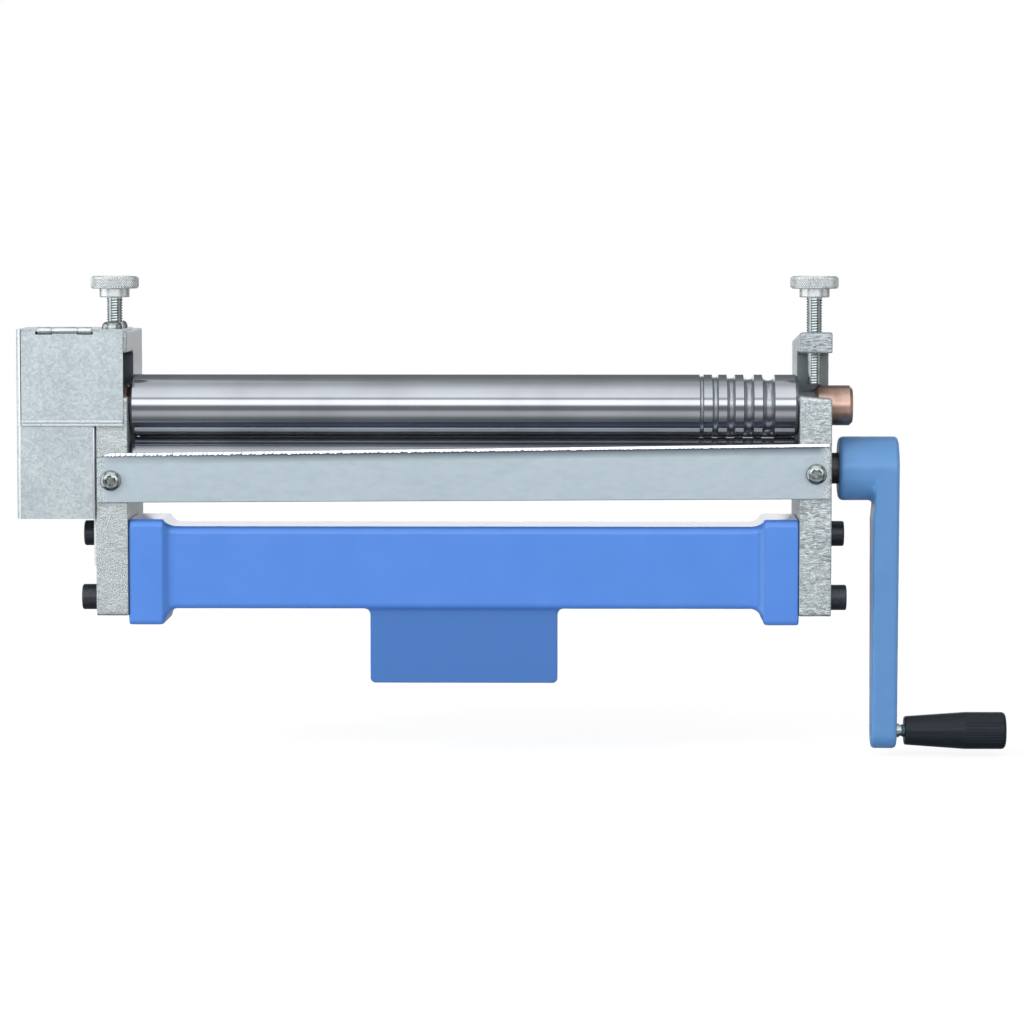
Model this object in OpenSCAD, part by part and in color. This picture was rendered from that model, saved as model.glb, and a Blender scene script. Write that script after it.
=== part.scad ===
// Hand slip roll for a bench vice: two geared pinch rolls, a rear bending roll,
// hooked side plates that let the upper roll slip out, and a crank.
// X runs along the rolls towards the crank, Y to the rear, Z up.
// The origin is the middle of the vice lug's bottom face.

/* [Rolls] */
// Diameter of each roll
roll_d = 30; // [28:0.5:32]
// Length of each roll's body
roll_length = 320; // [240:5:500]
// Gap between the upper and the lower roll at rest
nip_gap = 0.3; // [0.2:0.05:0.6]
// Gap between each roll's end and the side plate
end_play = 0.5; // [0.3:0.1:1]
// Diameter of the journals and of the crank shaft
journal_d = 15; // [12:0.5:16]
// Rounding of the roll ends
roll_edge = 1.2; // [0.5:0.1:2]

/* [Wire grooves] */
// Number of wire grooves in the upper roll
groove_count = 5; // [1:1:6]
// Diameter of the smallest wire groove
groove_first_d = 2; // [1:0.5:3]
// Growth of the groove diameter from one groove to the next
groove_step_d = 1; // [0.5:0.25:1]
// Land between two grooves
groove_land = 4; // [3:0.5:6]
// Roll end to the edge of the largest groove
groove_end_land = 11; // [8:0.5:16]

/* [Side plates] */
// Thickness of each side plate
plate_t = 15.3; // [14:0.1:18]
// Depth of each side plate from front to rear
plate_depth = 70; // [68:1:80]
// Height of each side plate
plate_h = 136; // [134:1:145]
// Underside of the plates to the lower roll's axis
axis_h = 70; // [68:1:72]
// Front face of the plates to the axis of the front rolls
axis_back = 19; // [18:0.5:20]
// Thickness of the hook's arm
hook_t = 10; // [8:0.5:11]
// Height of the slot's open mouth
mouth_h = 21; // [20.5:0.5:22]
// Fall of the right plate's top towards the rear
top_fall = 6.2; // [3:0.2:8]
// Corner radius of the plates
plate_r = 1.5; // [0.5:0.25:3]

/* [Bushes] */
// Outside diameter of the bushes
bush_od = 19.3; // [18:0.1:19.5]
// Length of the upper bushes
bush_length = 18; // [16:0.5:20]
// How far the right upper bush has slid out past the roll's shoulder
bush_slid_out = 8; // [2:0.5:10]
// Running clearance at the radius
running = 0.05; // [0.03:0.01:0.08]

/* [Rear roll] */
// Rear roll's axis behind the front axes
rear_back = 35; // [34:0.5:36]
// Rear roll's axis above the lower roll's axis
rear_rise = 9; // [8:0.5:10]
// Tilt of the rear slots below the horizontal, degrees
slot_tilt = 25; // [22:1:27]
// Travel of the rear roll towards the front rolls
travel_in = 7; // [5:0.5:7]

/* [Gears] */
// Number of teeth of each gear
gear_teeth = 15; // [14:1:16]
// Face width of the gears
gear_width = 14; // [10:0.5:15]
// Pressure angle, degrees
pressure_angle = 20; // [20:1:22]
// Play between meshing teeth, taken from each tooth's thickness
backlash = 0.16; // [0.1:0.02:0.3]

/* [Thumbscrews] */
// Diameter of the knurled rims
knob_d = 23.4; // [20:0.2:24]
// Height of the knurled rims
knob_h = 6; // [5:0.5:8]
// Diameter of the collar under each rim
collar_d = 14.6; // [12:0.2:16]
// Height of the collar under each rim
collar_h = 4.2; // [3:0.2:5]
// Diameter of the studs
stud_d = 8; // [6:1:8]
// Pitch of the studs' thread
stud_pitch = 1.25; // [1:0.25:1.5]
// Plain neck of the studs under the collar
stud_neck = 3.8; // [2:0.2:5]
// Length of the upper studs below the collar
upper_stud = 42; // [40:1:50]
// Length of the rear studs below the collar
rear_stud = 27.5; // [27:0.5:32]

/* [Base casting] */
// Width of the vice lug
lug_w = 90; // [60:1:140]
// Depth of the vice lug from front to rear
lug_depth = 30; // [24:1:34]
// Height of the vice lug below the beam
lug_h = 36; // [30:1:40]
// Height of the beam
beam_h = 39.6; // [34:0.4:42]
// Depth of the beam from front to rear
beam_depth = 38; // [34:1:40]
// Rounding of the beam's long edges
beam_r = 3; // [1:0.5:5]
// Width of each end block
block_w = 16.3; // [15.5:0.1:20]
// Depth of each end block from front to rear
block_depth = 46; // [44:1:48]
// Height of each end block
block_h = 50.8; // [49:0.3:52]
// How far the end blocks reach below the beam
block_drop = 7.6; // [6:0.1:9]
// How far the end blocks stand back from the plates' front
block_back = 1; // [0:0.2:2]
// Length of the flare between an end block and the beam
flare_w = 5.5; // [4:0.5:12]

/* [Base bolts] */
// Thread diameter of the base bolts
bolt_d = 8; // [6:1:8]
// Length of the base bolts under the head
bolt_length = 30; // [28:1:31]
// Upper base bolts above the plates' underside
bolt_high = 37.3; // [36:0.1:40]
// Upper base bolts behind the plates' front
bolt_high_back = 34; // [30:1:38]
// Lower base bolts above the plates' underside
bolt_low = 8; // [7:0.5:12]
// Lower base bolts behind the plates' front
bolt_low_back = 14; // [12:1:18]

/* [Guard strip] */
// Thickness of the guard strip
strip_t = 3; // [2:0.5:4]
// Height of the guard strip at its left end
strip_left_h = 23.5; // [18:0.5:24]
// Height of the guard strip at its right end
strip_right_h = 26.4; // [20:0.2:27]
// Lower left corner of the strip above the plates' underside
strip_base = 54.5; // [52:0.5:57]
// Rise of the strip's lower edge from left to right
strip_rise = 2; // [0:0.2:3]
// Bevel along the strip's top edge
strip_bevel = 1.6; // [0.8:0.2:2]

/* [Screws] */
// Thread diameter of the pan head screws
screw_d = 5; // [4:0.5:5]
// Head diameter of the pan head screws
screw_head_d = 10; // [8:0.2:10]
// Head height of the pan head screws
screw_head_h = 3.6; // [3:0.2:4]

/* [Gear cover] */
// Thickness of the cover's sheet
sheet_t = 1.2; // [1:0.1:1.4]
// Width of the cover outside the left plate
cover_w = 37.5; // [35:0.5:45]
// Cover's rear wall behind the plates' front
cover_back = 43; // [42:0.5:43.5]
// Cover's underside above the plates' underside
cover_base = 46.6; // [46.3:0.1:48]
// Outer radius of the cover's folds
fold_r = 2; // [1.6:0.1:3]
// Depth of the mounting plate below the cover
tail_h = 22.6; // [18:0.2:26]

/* [Flap] */
// Lower edge of the flap above the plates' underside
flap_base = 91.3; // [88:0.5:95]
// Gap round the flap
flap_gap = 0.4; // [0.3:0.1:0.8]
// Height of the folded lip along the flap's lower edge
lip_h = 1.9; // [1.2:0.1:3]
// Outside diameter of the hinge barrel
barrel_d = 3.4; // [3.2:0.1:3.6]
// Diameter of the hinge pin
pin_d = 1.6; // [1.2:0.1:1.8]
// Length of the hinge barrel
barrel_length = 25.4; // [20:0.4:27]
// Thickness of the hinge leaves
leaf_t = 0.8; // [0.6:0.1:0.8]
// Length of each hinge leaf
leaf_length = 15; // [10:1:18]

/* [Crank] */
// Crank axis to the handle's axis
crank_radius = 127; // [90:1:160]
// Diameter of the crank's hub
hub_d = 30.8; // [26:0.4:32]
// Length of the hub, the arm included
hub_length = 28.8; // [24:0.4:32]
// Gap between the right plate and the hub
hub_gap = 4; // [2:0.5:5]
// Thickness of the arm
arm_t = 11.6; // [9:0.2:14]
// Width of the arm at the handle
arm_end_w = 17.2; // [14:0.2:20]
// Rounding of the crank's edges
arm_r = 1.6; // [0.8:0.2:2.4]

/* [Handle] */
// Length of the grip
grip_length = 48.9; // [40:0.5:60]
// Diameter of the grip next to the arm
grip_small_d = 13.9; // [12:0.1:14]
// Diameter of the fluted end of the grip
grip_d = 17.9; // [16:0.1:22]
// Length of the grip's taper
grip_taper = 29; // [20:0.5:34]
// Number of flutes round the grip
flute_count = 36; // [24:2:48]
// Diameter of the handle's spindle
spindle_d = 6; // [5:0.5:6]
// Distance between the arm and the grip
spindle_gap = 3.9; // [3:0.1:5]

/* [Hidden] */

// Circles are true circles at this count
$fn = 64;
// How far cuts run past the faces that they open
over = 1;
// Gap where two moving pieces nearly touch
contact_gap = 0.2;
// Small chamfer on turned ends
turned_edge = 0.5;

// Places along the rolls
roll_half = roll_length / 2;
inner_x = roll_half + end_play;
outer_x = inner_x + plate_t;
plate_mid_x = inner_x + plate_t / 2;

// Places from front to rear, with the lug's middle at zero
lug_back = 8;
front_y = -lug_depth / 2 - lug_back;
axis_y = front_y + axis_back;
rear_face_y = front_y + plate_depth;
block_y = front_y + block_back;
beam_y = -beam_depth / 2;

// Heights
block_z = lug_h - block_drop;
beam_top = lug_h + beam_h;
plate_rise = 4.6;
plate_z = block_z + plate_rise;
plate_top = plate_z + plate_h;
lower_z = plate_z + axis_h;
upper_z = lower_z + roll_d + nip_gap;
ceiling_z = plate_top - hook_t;
lip_z = ceiling_z - mouth_h;

// Slots and bearings
slot_r = bush_od / 2 + running;
seat_gap = 0.1;
ceiling_r = 3;

// Rear roll and its line of travel
rear_y = axis_y + rear_back;
rear_z = lower_z + rear_rise;
rear_edge_z = rear_z - (rear_face_y - rear_y) * tan(slot_tilt);

// Base bolts
bolt_head_share = 1.53;
bolt_hole_play = 0.25;
socket_share = 0.75;
socket_depth_share = 0.5;
hex_to_circle = 1 / cos(30);

// Guard strip
strip_z = plate_z + strip_base;
strip_top_left = strip_z + strip_left_h;
strip_top_right = strip_z + strip_rise + strip_right_h;
screw_height_share = 0.455;
strip_screw_zs = [strip_z + screw_height_share * strip_left_h,
    strip_z + strip_rise + screw_height_share * strip_right_h];
screw_length = 12;
cover_screw_length = 8;
cross_w_share = 0.14;
cross_l_share = 0.5;
cross_depth_share = 0.45;

// Gear cover
cover_x = -outer_x - cover_w;
flap_play = 0.3;
cover_front = front_y - flap_play - sheet_t;
cover_rear = front_y + cover_back;
cover_z = plate_z + cover_base;
cover_top = plate_top + sheet_t;
flap_z = plate_z + flap_base;
hook_margin = 1.8;
hook_cover_x = -inner_x - hook_margin;
stud_window_play = 1;
cover_screw_shares = [0.186, 0.698];

// Hinge
barrel_y = cover_front + barrel_d / 2;
barrel_sink = 0.6;
barrel_inset = 1.6;
barrel_z = cover_top - barrel_sink;
barrel_x = -outer_x - barrel_inset - barrel_length;
knuckle_shares = [0, 0.253, 0.745, 1];
knuckle_gap = 0.2;
sweep_r = barrel_y - cover_front + contact_gap + contact_gap;
sheet_front = barrel_y + sweep_r + contact_gap;

// Gears
gear_module = roll_d / gear_teeth;
gear_tip_r = roll_d / 2 + gear_module;
root_share = 1.25;
gear_root_r = roll_d / 2 - root_share * gear_module;
gear_base_r = roll_d / 2 * cos(pressure_angle);
gear_standoff = 2.2;
gear_near_x = -outer_x - sheet_t - gear_standoff;
gear_far_x = gear_near_x - gear_width;
key_w = 4;
key_h = 4;
ring_t = 1;
ring_groove = 0.7;
ring_wall = 2.5;
ring_od = journal_d + 2 * ring_wall;
journal_over = 1.8;
gear_end_x = gear_far_x - ring_t - journal_over;

// Crank
hub_x = outer_x + hub_gap;
crank_x = hub_x + hub_length;
arm_x = crank_x - arm_t;
shaft_inset = 1;
shaft_end_x = crank_x - shaft_inset;
handle_z = lower_z - crank_radius;
grip_x = crank_x + spindle_gap;
set_screw_d = 6;
set_screw_sink = 1;
hub_edge = 2.5;

// Handle
spindle_collar_d = 6.7;
spindle_neck = 1.4;
spindle_head_d = 9.4;
spindle_head_h = 3;
grip_recess = 5;
grip_play = 0.1;

// Places of both sides: minus one is the left side, plus one the right
sides = [-1, 1];

// Turns what was drawn about Z so that it lies along X
module along_x() {
    rotate([0, 90, 0]) children();
}

// Pulls an outline drawn in Y and Z along X from x0 to x1
module side_pull(x0, x1) {
    translate([x0, 0, 0]) rotate([90, 0, 90]) linear_extrude(x1 - x0) children();
}

// Pulls an outline drawn in X and Z from y0 back to y1
module front_pull(y0, y1) {
    translate([0, y1, 0]) rotate([90, 0, 0]) linear_extrude(y1 - y0) children();
}

// Bar along X from x0 to x1 with chamfered ends
module bar(x0, x1, d, edge = turned_edge) {
    r = d / 2;
    along_x() rotate_extrude() polygon([[0, x0], [r - edge, x0], [r, x0 + edge],
        [r, x1 - edge], [r - edge, x1], [0, x1]]);
}

// Bar along X from x0 to x1 with rounded ends
module round_bar(x0, x1, d, r) {
    along_x() rotate_extrude() {
        rect(0, x0, d / 2 - r, x1);
        rect(0, x0 + r, d / 2, x1 - r);
        for (x = [x0 + r, x1 - r]) translate([d / 2 - r, x]) circle(r);
    }
}

// Ring along X from x0 to x1
module sleeve(x0, x1, od, id, edge = turned_edge) {
    difference() {
        bar(x0, x1, od, edge);
        along_x() translate([0, 0, x0 - over]) cylinder(d = id, h = x1 - x0 + 2 * over);
    }
}

// Rectangle between two corners
module rect(x0, y0, x1, y1) {
    translate([x0, y0]) square([x1 - x0, y1 - y0]);
}

// Rectangle between two corners, with rounded corners of radius r
module round_rect(x0, y0, x1, y1, r) {
    rect(x0 + r, y0, x1 - r, y1);
    rect(x0, y0 + r, x1, y1 - r);
    for (x = [x0 + r, x1 - r], y = [y0 + r, y1 - r]) translate([x, y]) circle(r);
}

// What lies between an inside corner at the origin and its fillet
module fillet(r) {
    difference() {
        square(r);
        translate([r, r]) circle(r);
    }
}

// Box between two corners
module block(x0, y0, z0, x1, y1, z1) {
    translate([x0, y0, z0]) cube([x1 - x0, y1 - y0, z1 - z0]);
}

// Section of the base casting at an end block, share 1, or in the beam, share 0
function blend(a, b, share) = a + (b - a) * share;

module casting_section(share) {
    y0 = blend(beam_y, block_y, share);
    y1 = blend(beam_y + beam_depth, block_y + block_depth, share);
    z0 = blend(lug_h, block_z, share);
    z1 = blend(beam_top, block_z + block_h, share);
    round_rect(y0, z0, y1, z1, beam_r);
}

// How far along the flare each section lies, and how much of the block it still has
flare_shares = [[0, 1], [0.2, 0.55], [0.55, 0.16], [1, 0]];
slice_t = 0.1;

module flare(side) {
    for (i = [0 : len(flare_shares) - 2]) hull() for (j = [i, i + 1]) {
        x = inner_x - block_w - flare_shares[j][0] * flare_w;
        scale([side, 1, 1]) side_pull(x - slice_t, x) casting_section(flare_shares[j][1], $fn = 32);
    }
}

module lug() {
    r = beam_r;
    intersection() {
        front_pull(-lug_depth / 2, lug_depth / 2) {
            round_rect(-lug_w / 2, 0, lug_w / 2, lug_h + beam_h / 2, r / 2);
            for (side = sides) scale([side, 1]) translate([lug_w / 2, lug_h]) rotate(-90) fillet(r);
        }
        translate([0, 0, -over]) linear_extrude(lug_h + beam_h)
            round_rect(-lug_w / 2 - r, -lug_depth / 2, lug_w / 2 + r, lug_depth / 2, r / 2);
    }
}

// Places of the base bolts in Y and Z
bolt_places = [[front_y + bolt_low_back, plate_z + bolt_low],
    [front_y + bolt_high_back, plate_z + bolt_high]];
// Sheet under the head of each bolt: only the upper left one clamps the cover's plate
function sheet_under(side, i) = side < 0 && i == 1 ? sheet_t : 0;

module base_casting() {
    color("#5c8fe6") difference() {
        union() {
            side_pull(-inner_x + block_w, inner_x - block_w) casting_section(0);
            for (side = sides) {
                x = inner_x - block_w;
                flare(side);
                side_pull(side > 0 ? x : -inner_x, side > 0 ? inner_x : -x) casting_section(1);
            }
            lug();
        }
        for (side = sides, i = [0, 1])
            base_bolt_shank(side, i);
    }
}

module base_bolt_shank(side, i) {
    head_x = outer_x + sheet_under(side, i);
    translate([side * head_x, bolt_places[i][0], bolt_places[i][1]]) rotate([0, -90 * side, 0])
        translate([0, 0, -over]) cylinder(d = bolt_d, h = bolt_length + over);
}

module base_bolts() {
    color("#26282c") for (side = sides, i = [0, 1])
        translate([side * (outer_x + sheet_under(side, i)), bolt_places[i][0], bolt_places[i][1]])
            rotate([0, 90 * side, 0]) socket_bolt(bolt_d, bolt_length);
}

// Socket head bolt with its head on the plane at zero and its shank below
module socket_bolt(d, length) {
    head_r = d * bolt_head_share / 2;
    difference() {
        union() {
            rotate_extrude() polygon([[0, 0], [head_r, 0], [head_r, d - turned_edge],
                [head_r - turned_edge, d], [0, d]]);
            rotate_extrude() polygon([[0, 0], [0, -length], [d / 2 - turned_edge, -length],
                [d / 2, -length + turned_edge], [d / 2, 0]]);
        }
        translate([0, 0, d * socket_depth_share])
            cylinder(d = d * socket_share * hex_to_circle, h = d, $fn = 6);
    }
}

// Outline of a side plate in Y and Z; fall lowers the rear of its top
module plate_outline(fall) {
    difference() {
        polygon([[front_y, plate_z], [rear_face_y, plate_z], [rear_face_y, plate_top - fall],
            [front_y, plate_top]]);
        for (y = [front_y, rear_face_y]) translate([y, plate_z])
            rotate(y == front_y ? 0 : 90) fillet(plate_r);
        translate([front_y, plate_top]) rotate(-90) fillet(plate_r);
        translate([rear_face_y, plate_top - fall]) rotate(180) fillet(plate_r);
        front_slot();
        rear_slot();
        translate([axis_y, lower_z]) circle(d = bush_od);
        for (p = bolt_places) translate(p) circle(r = bolt_d / 2 + bolt_hole_play);
    }
}

// Slot of the upper bush: open to the front under the hook, then down to its seat
module front_slot() {
    wall_y = axis_y + slot_r;
    difference() {
        rect(front_y - over, lip_z, wall_y, ceiling_z);
        translate([wall_y, ceiling_z]) rotate(180) fillet(ceiling_r);
    }
    rect(axis_y - slot_r, upper_z - seat_gap, wall_y, lip_z + over);
    translate([axis_y, upper_z - seat_gap]) circle(slot_r);
    translate([front_y, lip_z]) rotate(-90) fillet(plate_r);
    translate([axis_y - slot_r, lip_z]) rotate(180) fillet(plate_r);
}

// Sloping slot of the rear bush, open to the rear
module rear_slot() {
    end = travel_in + contact_gap;
    translate([rear_y, rear_z]) rotate(-slot_tilt) {
        translate([-end, 0]) circle(slot_r);
        rect(-end, -slot_r, plate_depth, slot_r);
    }
}

module side_plate(side, fall) {
    difference() {
        side_pull(side > 0 ? inner_x : -outer_x, side > 0 ? outer_x : -inner_x)
            plate_outline(fall);
        translate([side * plate_mid_x, axis_y, ceiling_z - over])
            cylinder(r = stud_d / 2 + running, h = hook_t + 2 * over);
        translate([side * plate_mid_x, front_y - over, strip_screw_zs[side > 0 ? 1 : 0]])
            rotate([-90, 0, 0]) cylinder(d = screw_d, h = screw_length - strip_t + over);
        for (z = keeper_screw_zs) translate([side * plate_mid_x, rear_face_y + over, z])
            rotate([90, 0, 0]) cylinder(d = keeper_screw_d, h = keeper_screw_length + over);
        if (side < 0) for (share = cover_screw_shares)
            translate([-plate_mid_x, front_y + share * cover_back, plate_top - cover_screw_length + sheet_t])
                cylinder(d = screw_d, h = cover_screw_length + over);
    }
}

module left_side_plate() {
    color("#c9cdcf") side_plate(-1, 0);
}

module right_side_plate() {
    color("#c9cdcf") side_plate(1, top_fall);
}

module lower_bush(side) {
    color("#b07a50") translate([0, axis_y, lower_z])
        sleeve(side > 0 ? inner_x : -outer_x, side > 0 ? outer_x : -inner_x,
            bush_od, journal_d + 2 * running, running);
}

module left_lower_bush() {
    lower_bush(-1);
}

module right_lower_bush() {
    lower_bush(1);
}

// Upper bushes: the left one sits in its slot, the right one has slid along its journal
module upper_bush(x0) {
    color("#b07a50") translate([0, axis_y, upper_z])
        sleeve(x0, x0 + bush_length, bush_od, journal_d + 2 * running, 3 * turned_edge);
}

module left_upper_bush() {
    upper_bush(-roll_half - end_play - bush_length);
}

module right_upper_bush() {
    upper_bush(inner_x + bush_slid_out);
}

// Rear bushes end flush with the plates, clear of the cover's mounting plate
rear_bush_gap = 0.3;

module rear_bush(side) {
    color("#b07a50") translate([0, rear_y, rear_z])
        sleeve(side > 0 ? inner_x : -outer_x + rear_bush_gap,
            side > 0 ? outer_x - rear_bush_gap : -inner_x,
            bush_od, journal_d + 2 * running, turned_edge);
}

module left_rear_bush() {
    rear_bush(-1);
}

module right_rear_bush() {
    rear_bush(1);
}

// Depth of the thread's grooves in pitches
thread_depth_share = 0.5;

// Screw with a knurled rim, its tip at zero: thread of equal turns, neck, collar and rim
module knurled_screw(length) {
    r = stud_d / 2;
    depth = thread_depth_share * stud_pitch;
    edge = turned_edge + turned_edge;
    turns = floor((length - stud_neck - edge) / stud_pitch);
    top = edge + turns * stud_pitch;
    thread = [for (i = [0 : turns - 1], p = [0, 1])
        [p == 0 ? r : r - depth, edge + (i + p / 2) * stud_pitch]];
    rotate_extrude() polygon(concat([[0, 0], [r - edge, 0]], thread,
        [[r - depth / 2, top], [r - depth / 2, length], [collar_d / 2 - turned_edge, length],
        [collar_d / 2, length + turned_edge], [collar_d / 2, length + collar_h],
        [knob_d / 2 - edge, length + collar_h], [knob_d / 2, length + collar_h + edge],
        [knob_d / 2, length + collar_h + knob_h - edge],
        [knob_d / 2 - edge, length + collar_h + knob_h], [0, length + collar_h + knob_h]]));
}

module thumbscrew(side) {
    color("#d3d6d8") translate([side * plate_mid_x, axis_y, upper_z + bush_od / 2 + contact_gap])
        knurled_screw(upper_stud);
}

module left_thumbscrew() {
    thumbscrew(-1);
}

module right_thumbscrew() {
    thumbscrew(1);
}

module rear_screw(side) {
    color("#d3d6d8") translate([side * plate_mid_x, rear_y, rear_z])
        rotate([-(90 + slot_tilt), 0, 0]) translate([0, 0, bush_od / 2 + contact_gap])
            knurled_screw(rear_stud);
}

module left_rear_screw() {
    rear_screw(-1);
}

module right_rear_screw() {
    rear_screw(1);
}

// Keepers on the plates' rear faces: a flange and a sloping boss for the rear screw
keeper_t = 6;
keeper_reach = 28;
keeper_w = plate_t - 2 * turned_edge;
keeper_up = 24;
keeper_down = 29;
keeper_screw_d = 5;
keeper_screw_length = 8;
keeper_screw_inset = 5;
keeper_screw_zs = [rear_edge_z + keeper_up - keeper_screw_inset,
    rear_edge_z - keeper_down + keeper_screw_inset];

module rear_keeper(side) {
    x = side * plate_mid_x;
    color("#c9cdcf") difference() {
        union() {
            side_pull(x - keeper_w / 2, x + keeper_w / 2) round_rect(rear_face_y,
                rear_edge_z - keeper_down, rear_face_y + keeper_t, rear_edge_z + keeper_up, plate_r);
            intersection() {
                on_rear_screw(side) cylinder(d = keeper_w, h = keeper_reach);
                block(x - keeper_w, rear_face_y, 0, x + keeper_w, rear_face_y + plate_depth, plate_top);
            }
        }
        on_rear_screw(side) cylinder(r = stud_d / 2 + running, h = keeper_reach + over);
        for (z = keeper_screw_zs) translate([x, rear_face_y - over, z])
            rotate([-90, 0, 0]) cylinder(d = keeper_screw_d, h = keeper_t + 2 * over);
    }
}

// Puts Z on the axis of a rear screw, pointing rearward and down from the rear roll's axis
module on_rear_screw(side) {
    translate([side * plate_mid_x, rear_y, rear_z]) rotate([-(90 + slot_tilt), 0, 0]) children();
}

module left_rear_keeper() {
    rear_keeper(-1);
}

module right_rear_keeper() {
    rear_keeper(1);
}

module keeper_screws() {
    color("#26282c") for (side = sides, z = keeper_screw_zs)
        translate([side * plate_mid_x, rear_face_y + keeper_t, z]) rotate([-90, 0, 0])
            socket_bolt(keeper_screw_d, keeper_t + keeper_screw_length);
}

// Guard strip across the fronts of the plates
module guard_strip() {
    color("#b4c5cf") difference() {
        front_pull(front_y - strip_t, front_y)
            polygon([[-outer_x, strip_z], [outer_x, strip_z + strip_rise],
                [outer_x, strip_top_right], [-outer_x, strip_top_left]]);
        translate([-outer_x, front_y - strip_t, strip_top_left])
            rotate([0, -atan((strip_top_right - strip_top_left) / (2 * outer_x)), 0])
                rotate([45, 0, 0]) translate([-over, -strip_t, -strip_bevel / sqrt(2)])
                    cube([2 * outer_x + plate_t, 2 * strip_t, strip_t]);
        for (i = [0, 1]) translate([sides[i] * plate_mid_x, front_y + over, strip_screw_zs[i]])
            rotate([90, 0, 0]) cylinder(d = screw_d, h = strip_t + 2 * over);
    }
}

// Pan head screw with its head on the plane at zero, its shank below, and a cross recess
module pan_screw(length) {
    r = screw_head_d / 2;
    cross_w = screw_head_d * cross_w_share;
    cross_l = screw_head_d * cross_l_share;
    difference() {
        union() {
            intersection() {
                cylinder(r = r, h = screw_head_h);
                translate([0, 0, screw_head_h - r * dome_share]) sphere(r * dome_share);
            }
            translate([0, 0, -length]) cylinder(d = screw_d, h = length + turned_edge);
        }
        for (a = [0, 90]) rotate(a) translate([-cross_l / 2, -cross_w / 2,
            screw_head_h * (1 - cross_depth_share)]) cube([cross_l, cross_w, screw_head_h]);
    }
}

// Radius of the pan head's dome in head radii
dome_share = 1.25;

module guard_screws() {
    color("#b9bec2") for (i = [0, 1])
        translate([sides[i] * plate_mid_x, front_y - strip_t, strip_screw_zs[i]])
            rotate([90, 0, 0]) pan_screw(screw_length);
}

module cover_screws() {
    color("#b9bec2") for (share = cover_screw_shares)
        translate([-plate_mid_x, front_y + share * cover_back, cover_top])
            pan_screw(cover_screw_length);
}

// Sheet box round the gears, open towards the plate and, behind the flap, to the front
module cover_box() {
    plate_x = -outer_x - sheet_t;
    color("#c3cdd2") difference() {
        union() {
            difference() {
                translate([0, 0, cover_z]) linear_extrude(cover_top - cover_z) intersection() {
                    round_rect(cover_x, cover_front, outer_x, cover_rear, fold_r);
                    rect(cover_x, cover_front, plate_x, cover_rear);
                }
                translate([0, 0, cover_z + sheet_t]) linear_extrude(cover_top - cover_z - 2 * sheet_t)
                    round_rect(cover_x + sheet_t, cover_front + sheet_t, outer_x,
                        cover_rear - sheet_t, fold_r - sheet_t);
            }
            block(plate_x - over, sheet_front, plate_top, hook_cover_x, cover_rear, cover_top);
        }
        block(cover_x + fold_r, cover_front - over, flap_z - flap_gap, outer_x,
            sheet_front, cover_top + over);
        translate([-plate_mid_x, axis_y, plate_top - over])
            cylinder(r = stud_d / 2 + stud_window_play, h = sheet_t + 2 * over);
        for (share = cover_screw_shares)
            translate([-plate_mid_x, front_y + share * cover_back, plate_top - over])
                cylinder(d = screw_d, h = sheet_t + 2 * over);
    }
}

// Flat sheet between the plate and the box, open in front for the upper bush
module cover_mounting_plate() {
    color("#c3cdd2") side_pull(-outer_x - sheet_t, -outer_x) difference() {
        union() {
            rect(sheet_front, cover_z, cover_rear, plate_top);
            rect(sheet_front, cover_z - tail_h, cover_rear, cover_z + over);
        }
        rect(front_y - over, upper_z - slot_r - over, axis_y + slot_r + over, ceiling_z + over);
        translate([axis_y, lower_z]) circle(d = bush_od + 2 * over);
        translate(bolt_places[1]) circle(r = bolt_d / 2 + bolt_hole_play);
    }
}

// Flap with its folded lip, notched round the hinge barrel
module cover_flap() {
    notch_x0 = barrel_x - sheet_t;
    notch_x1 = barrel_x + barrel_length + sheet_t;
    color("#c3cdd2") difference() {
        union() {
            block(cover_x + fold_r + flap_gap, cover_front, flap_z,
                hook_cover_x, cover_front + sheet_t, plate_top + contact_gap);
            side_pull(cover_x + fold_r + flap_gap, hook_cover_x)
                round_rect(cover_front - sheet_t / 2, flap_z, cover_front + sheet_t,
                    flap_z + lip_h, sheet_t / 2);
        }
        block(notch_x0, cover_front - over, barrel_z - barrel_d / 2 - contact_gap,
            notch_x1, front_y, cover_top + over);
    }
}

// Knuckle number i of the hinge, from 0 at the left
module knuckle(i, bore) {
    x0 = barrel_x + barrel_length * knuckle_shares[i] + (i == 1 ? knuckle_gap : 0);
    x1 = barrel_x + barrel_length * knuckle_shares[i + 1] - (i == 1 ? knuckle_gap : 0);
    translate([0, barrel_y, barrel_z]) sleeve(x0, x1, barrel_d, bore, 0);
}

module hinge_fixed_leaf() {
    cut_x0 = barrel_x + barrel_length * knuckle_shares[1] - knuckle_gap;
    cut_x1 = barrel_x + barrel_length * knuckle_shares[2] + knuckle_gap;
    color("#b9bec2") difference() {
        union() {
            for (i = [0, 2]) knuckle(i, pin_d);
            block(barrel_x, barrel_y + barrel_d / 4, plate_top - leaf_t,
                barrel_x + barrel_length, sheet_front + leaf_length, plate_top);
        }
        block(cut_x0, barrel_y - barrel_d, plate_top - over, cut_x1, sheet_front, cover_top + over);
        translate([0, barrel_y, barrel_z]) along_x() translate([0, 0, barrel_x - over])
            cylinder(d = pin_d, h = barrel_length + 2 * over);
    }
}

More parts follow.
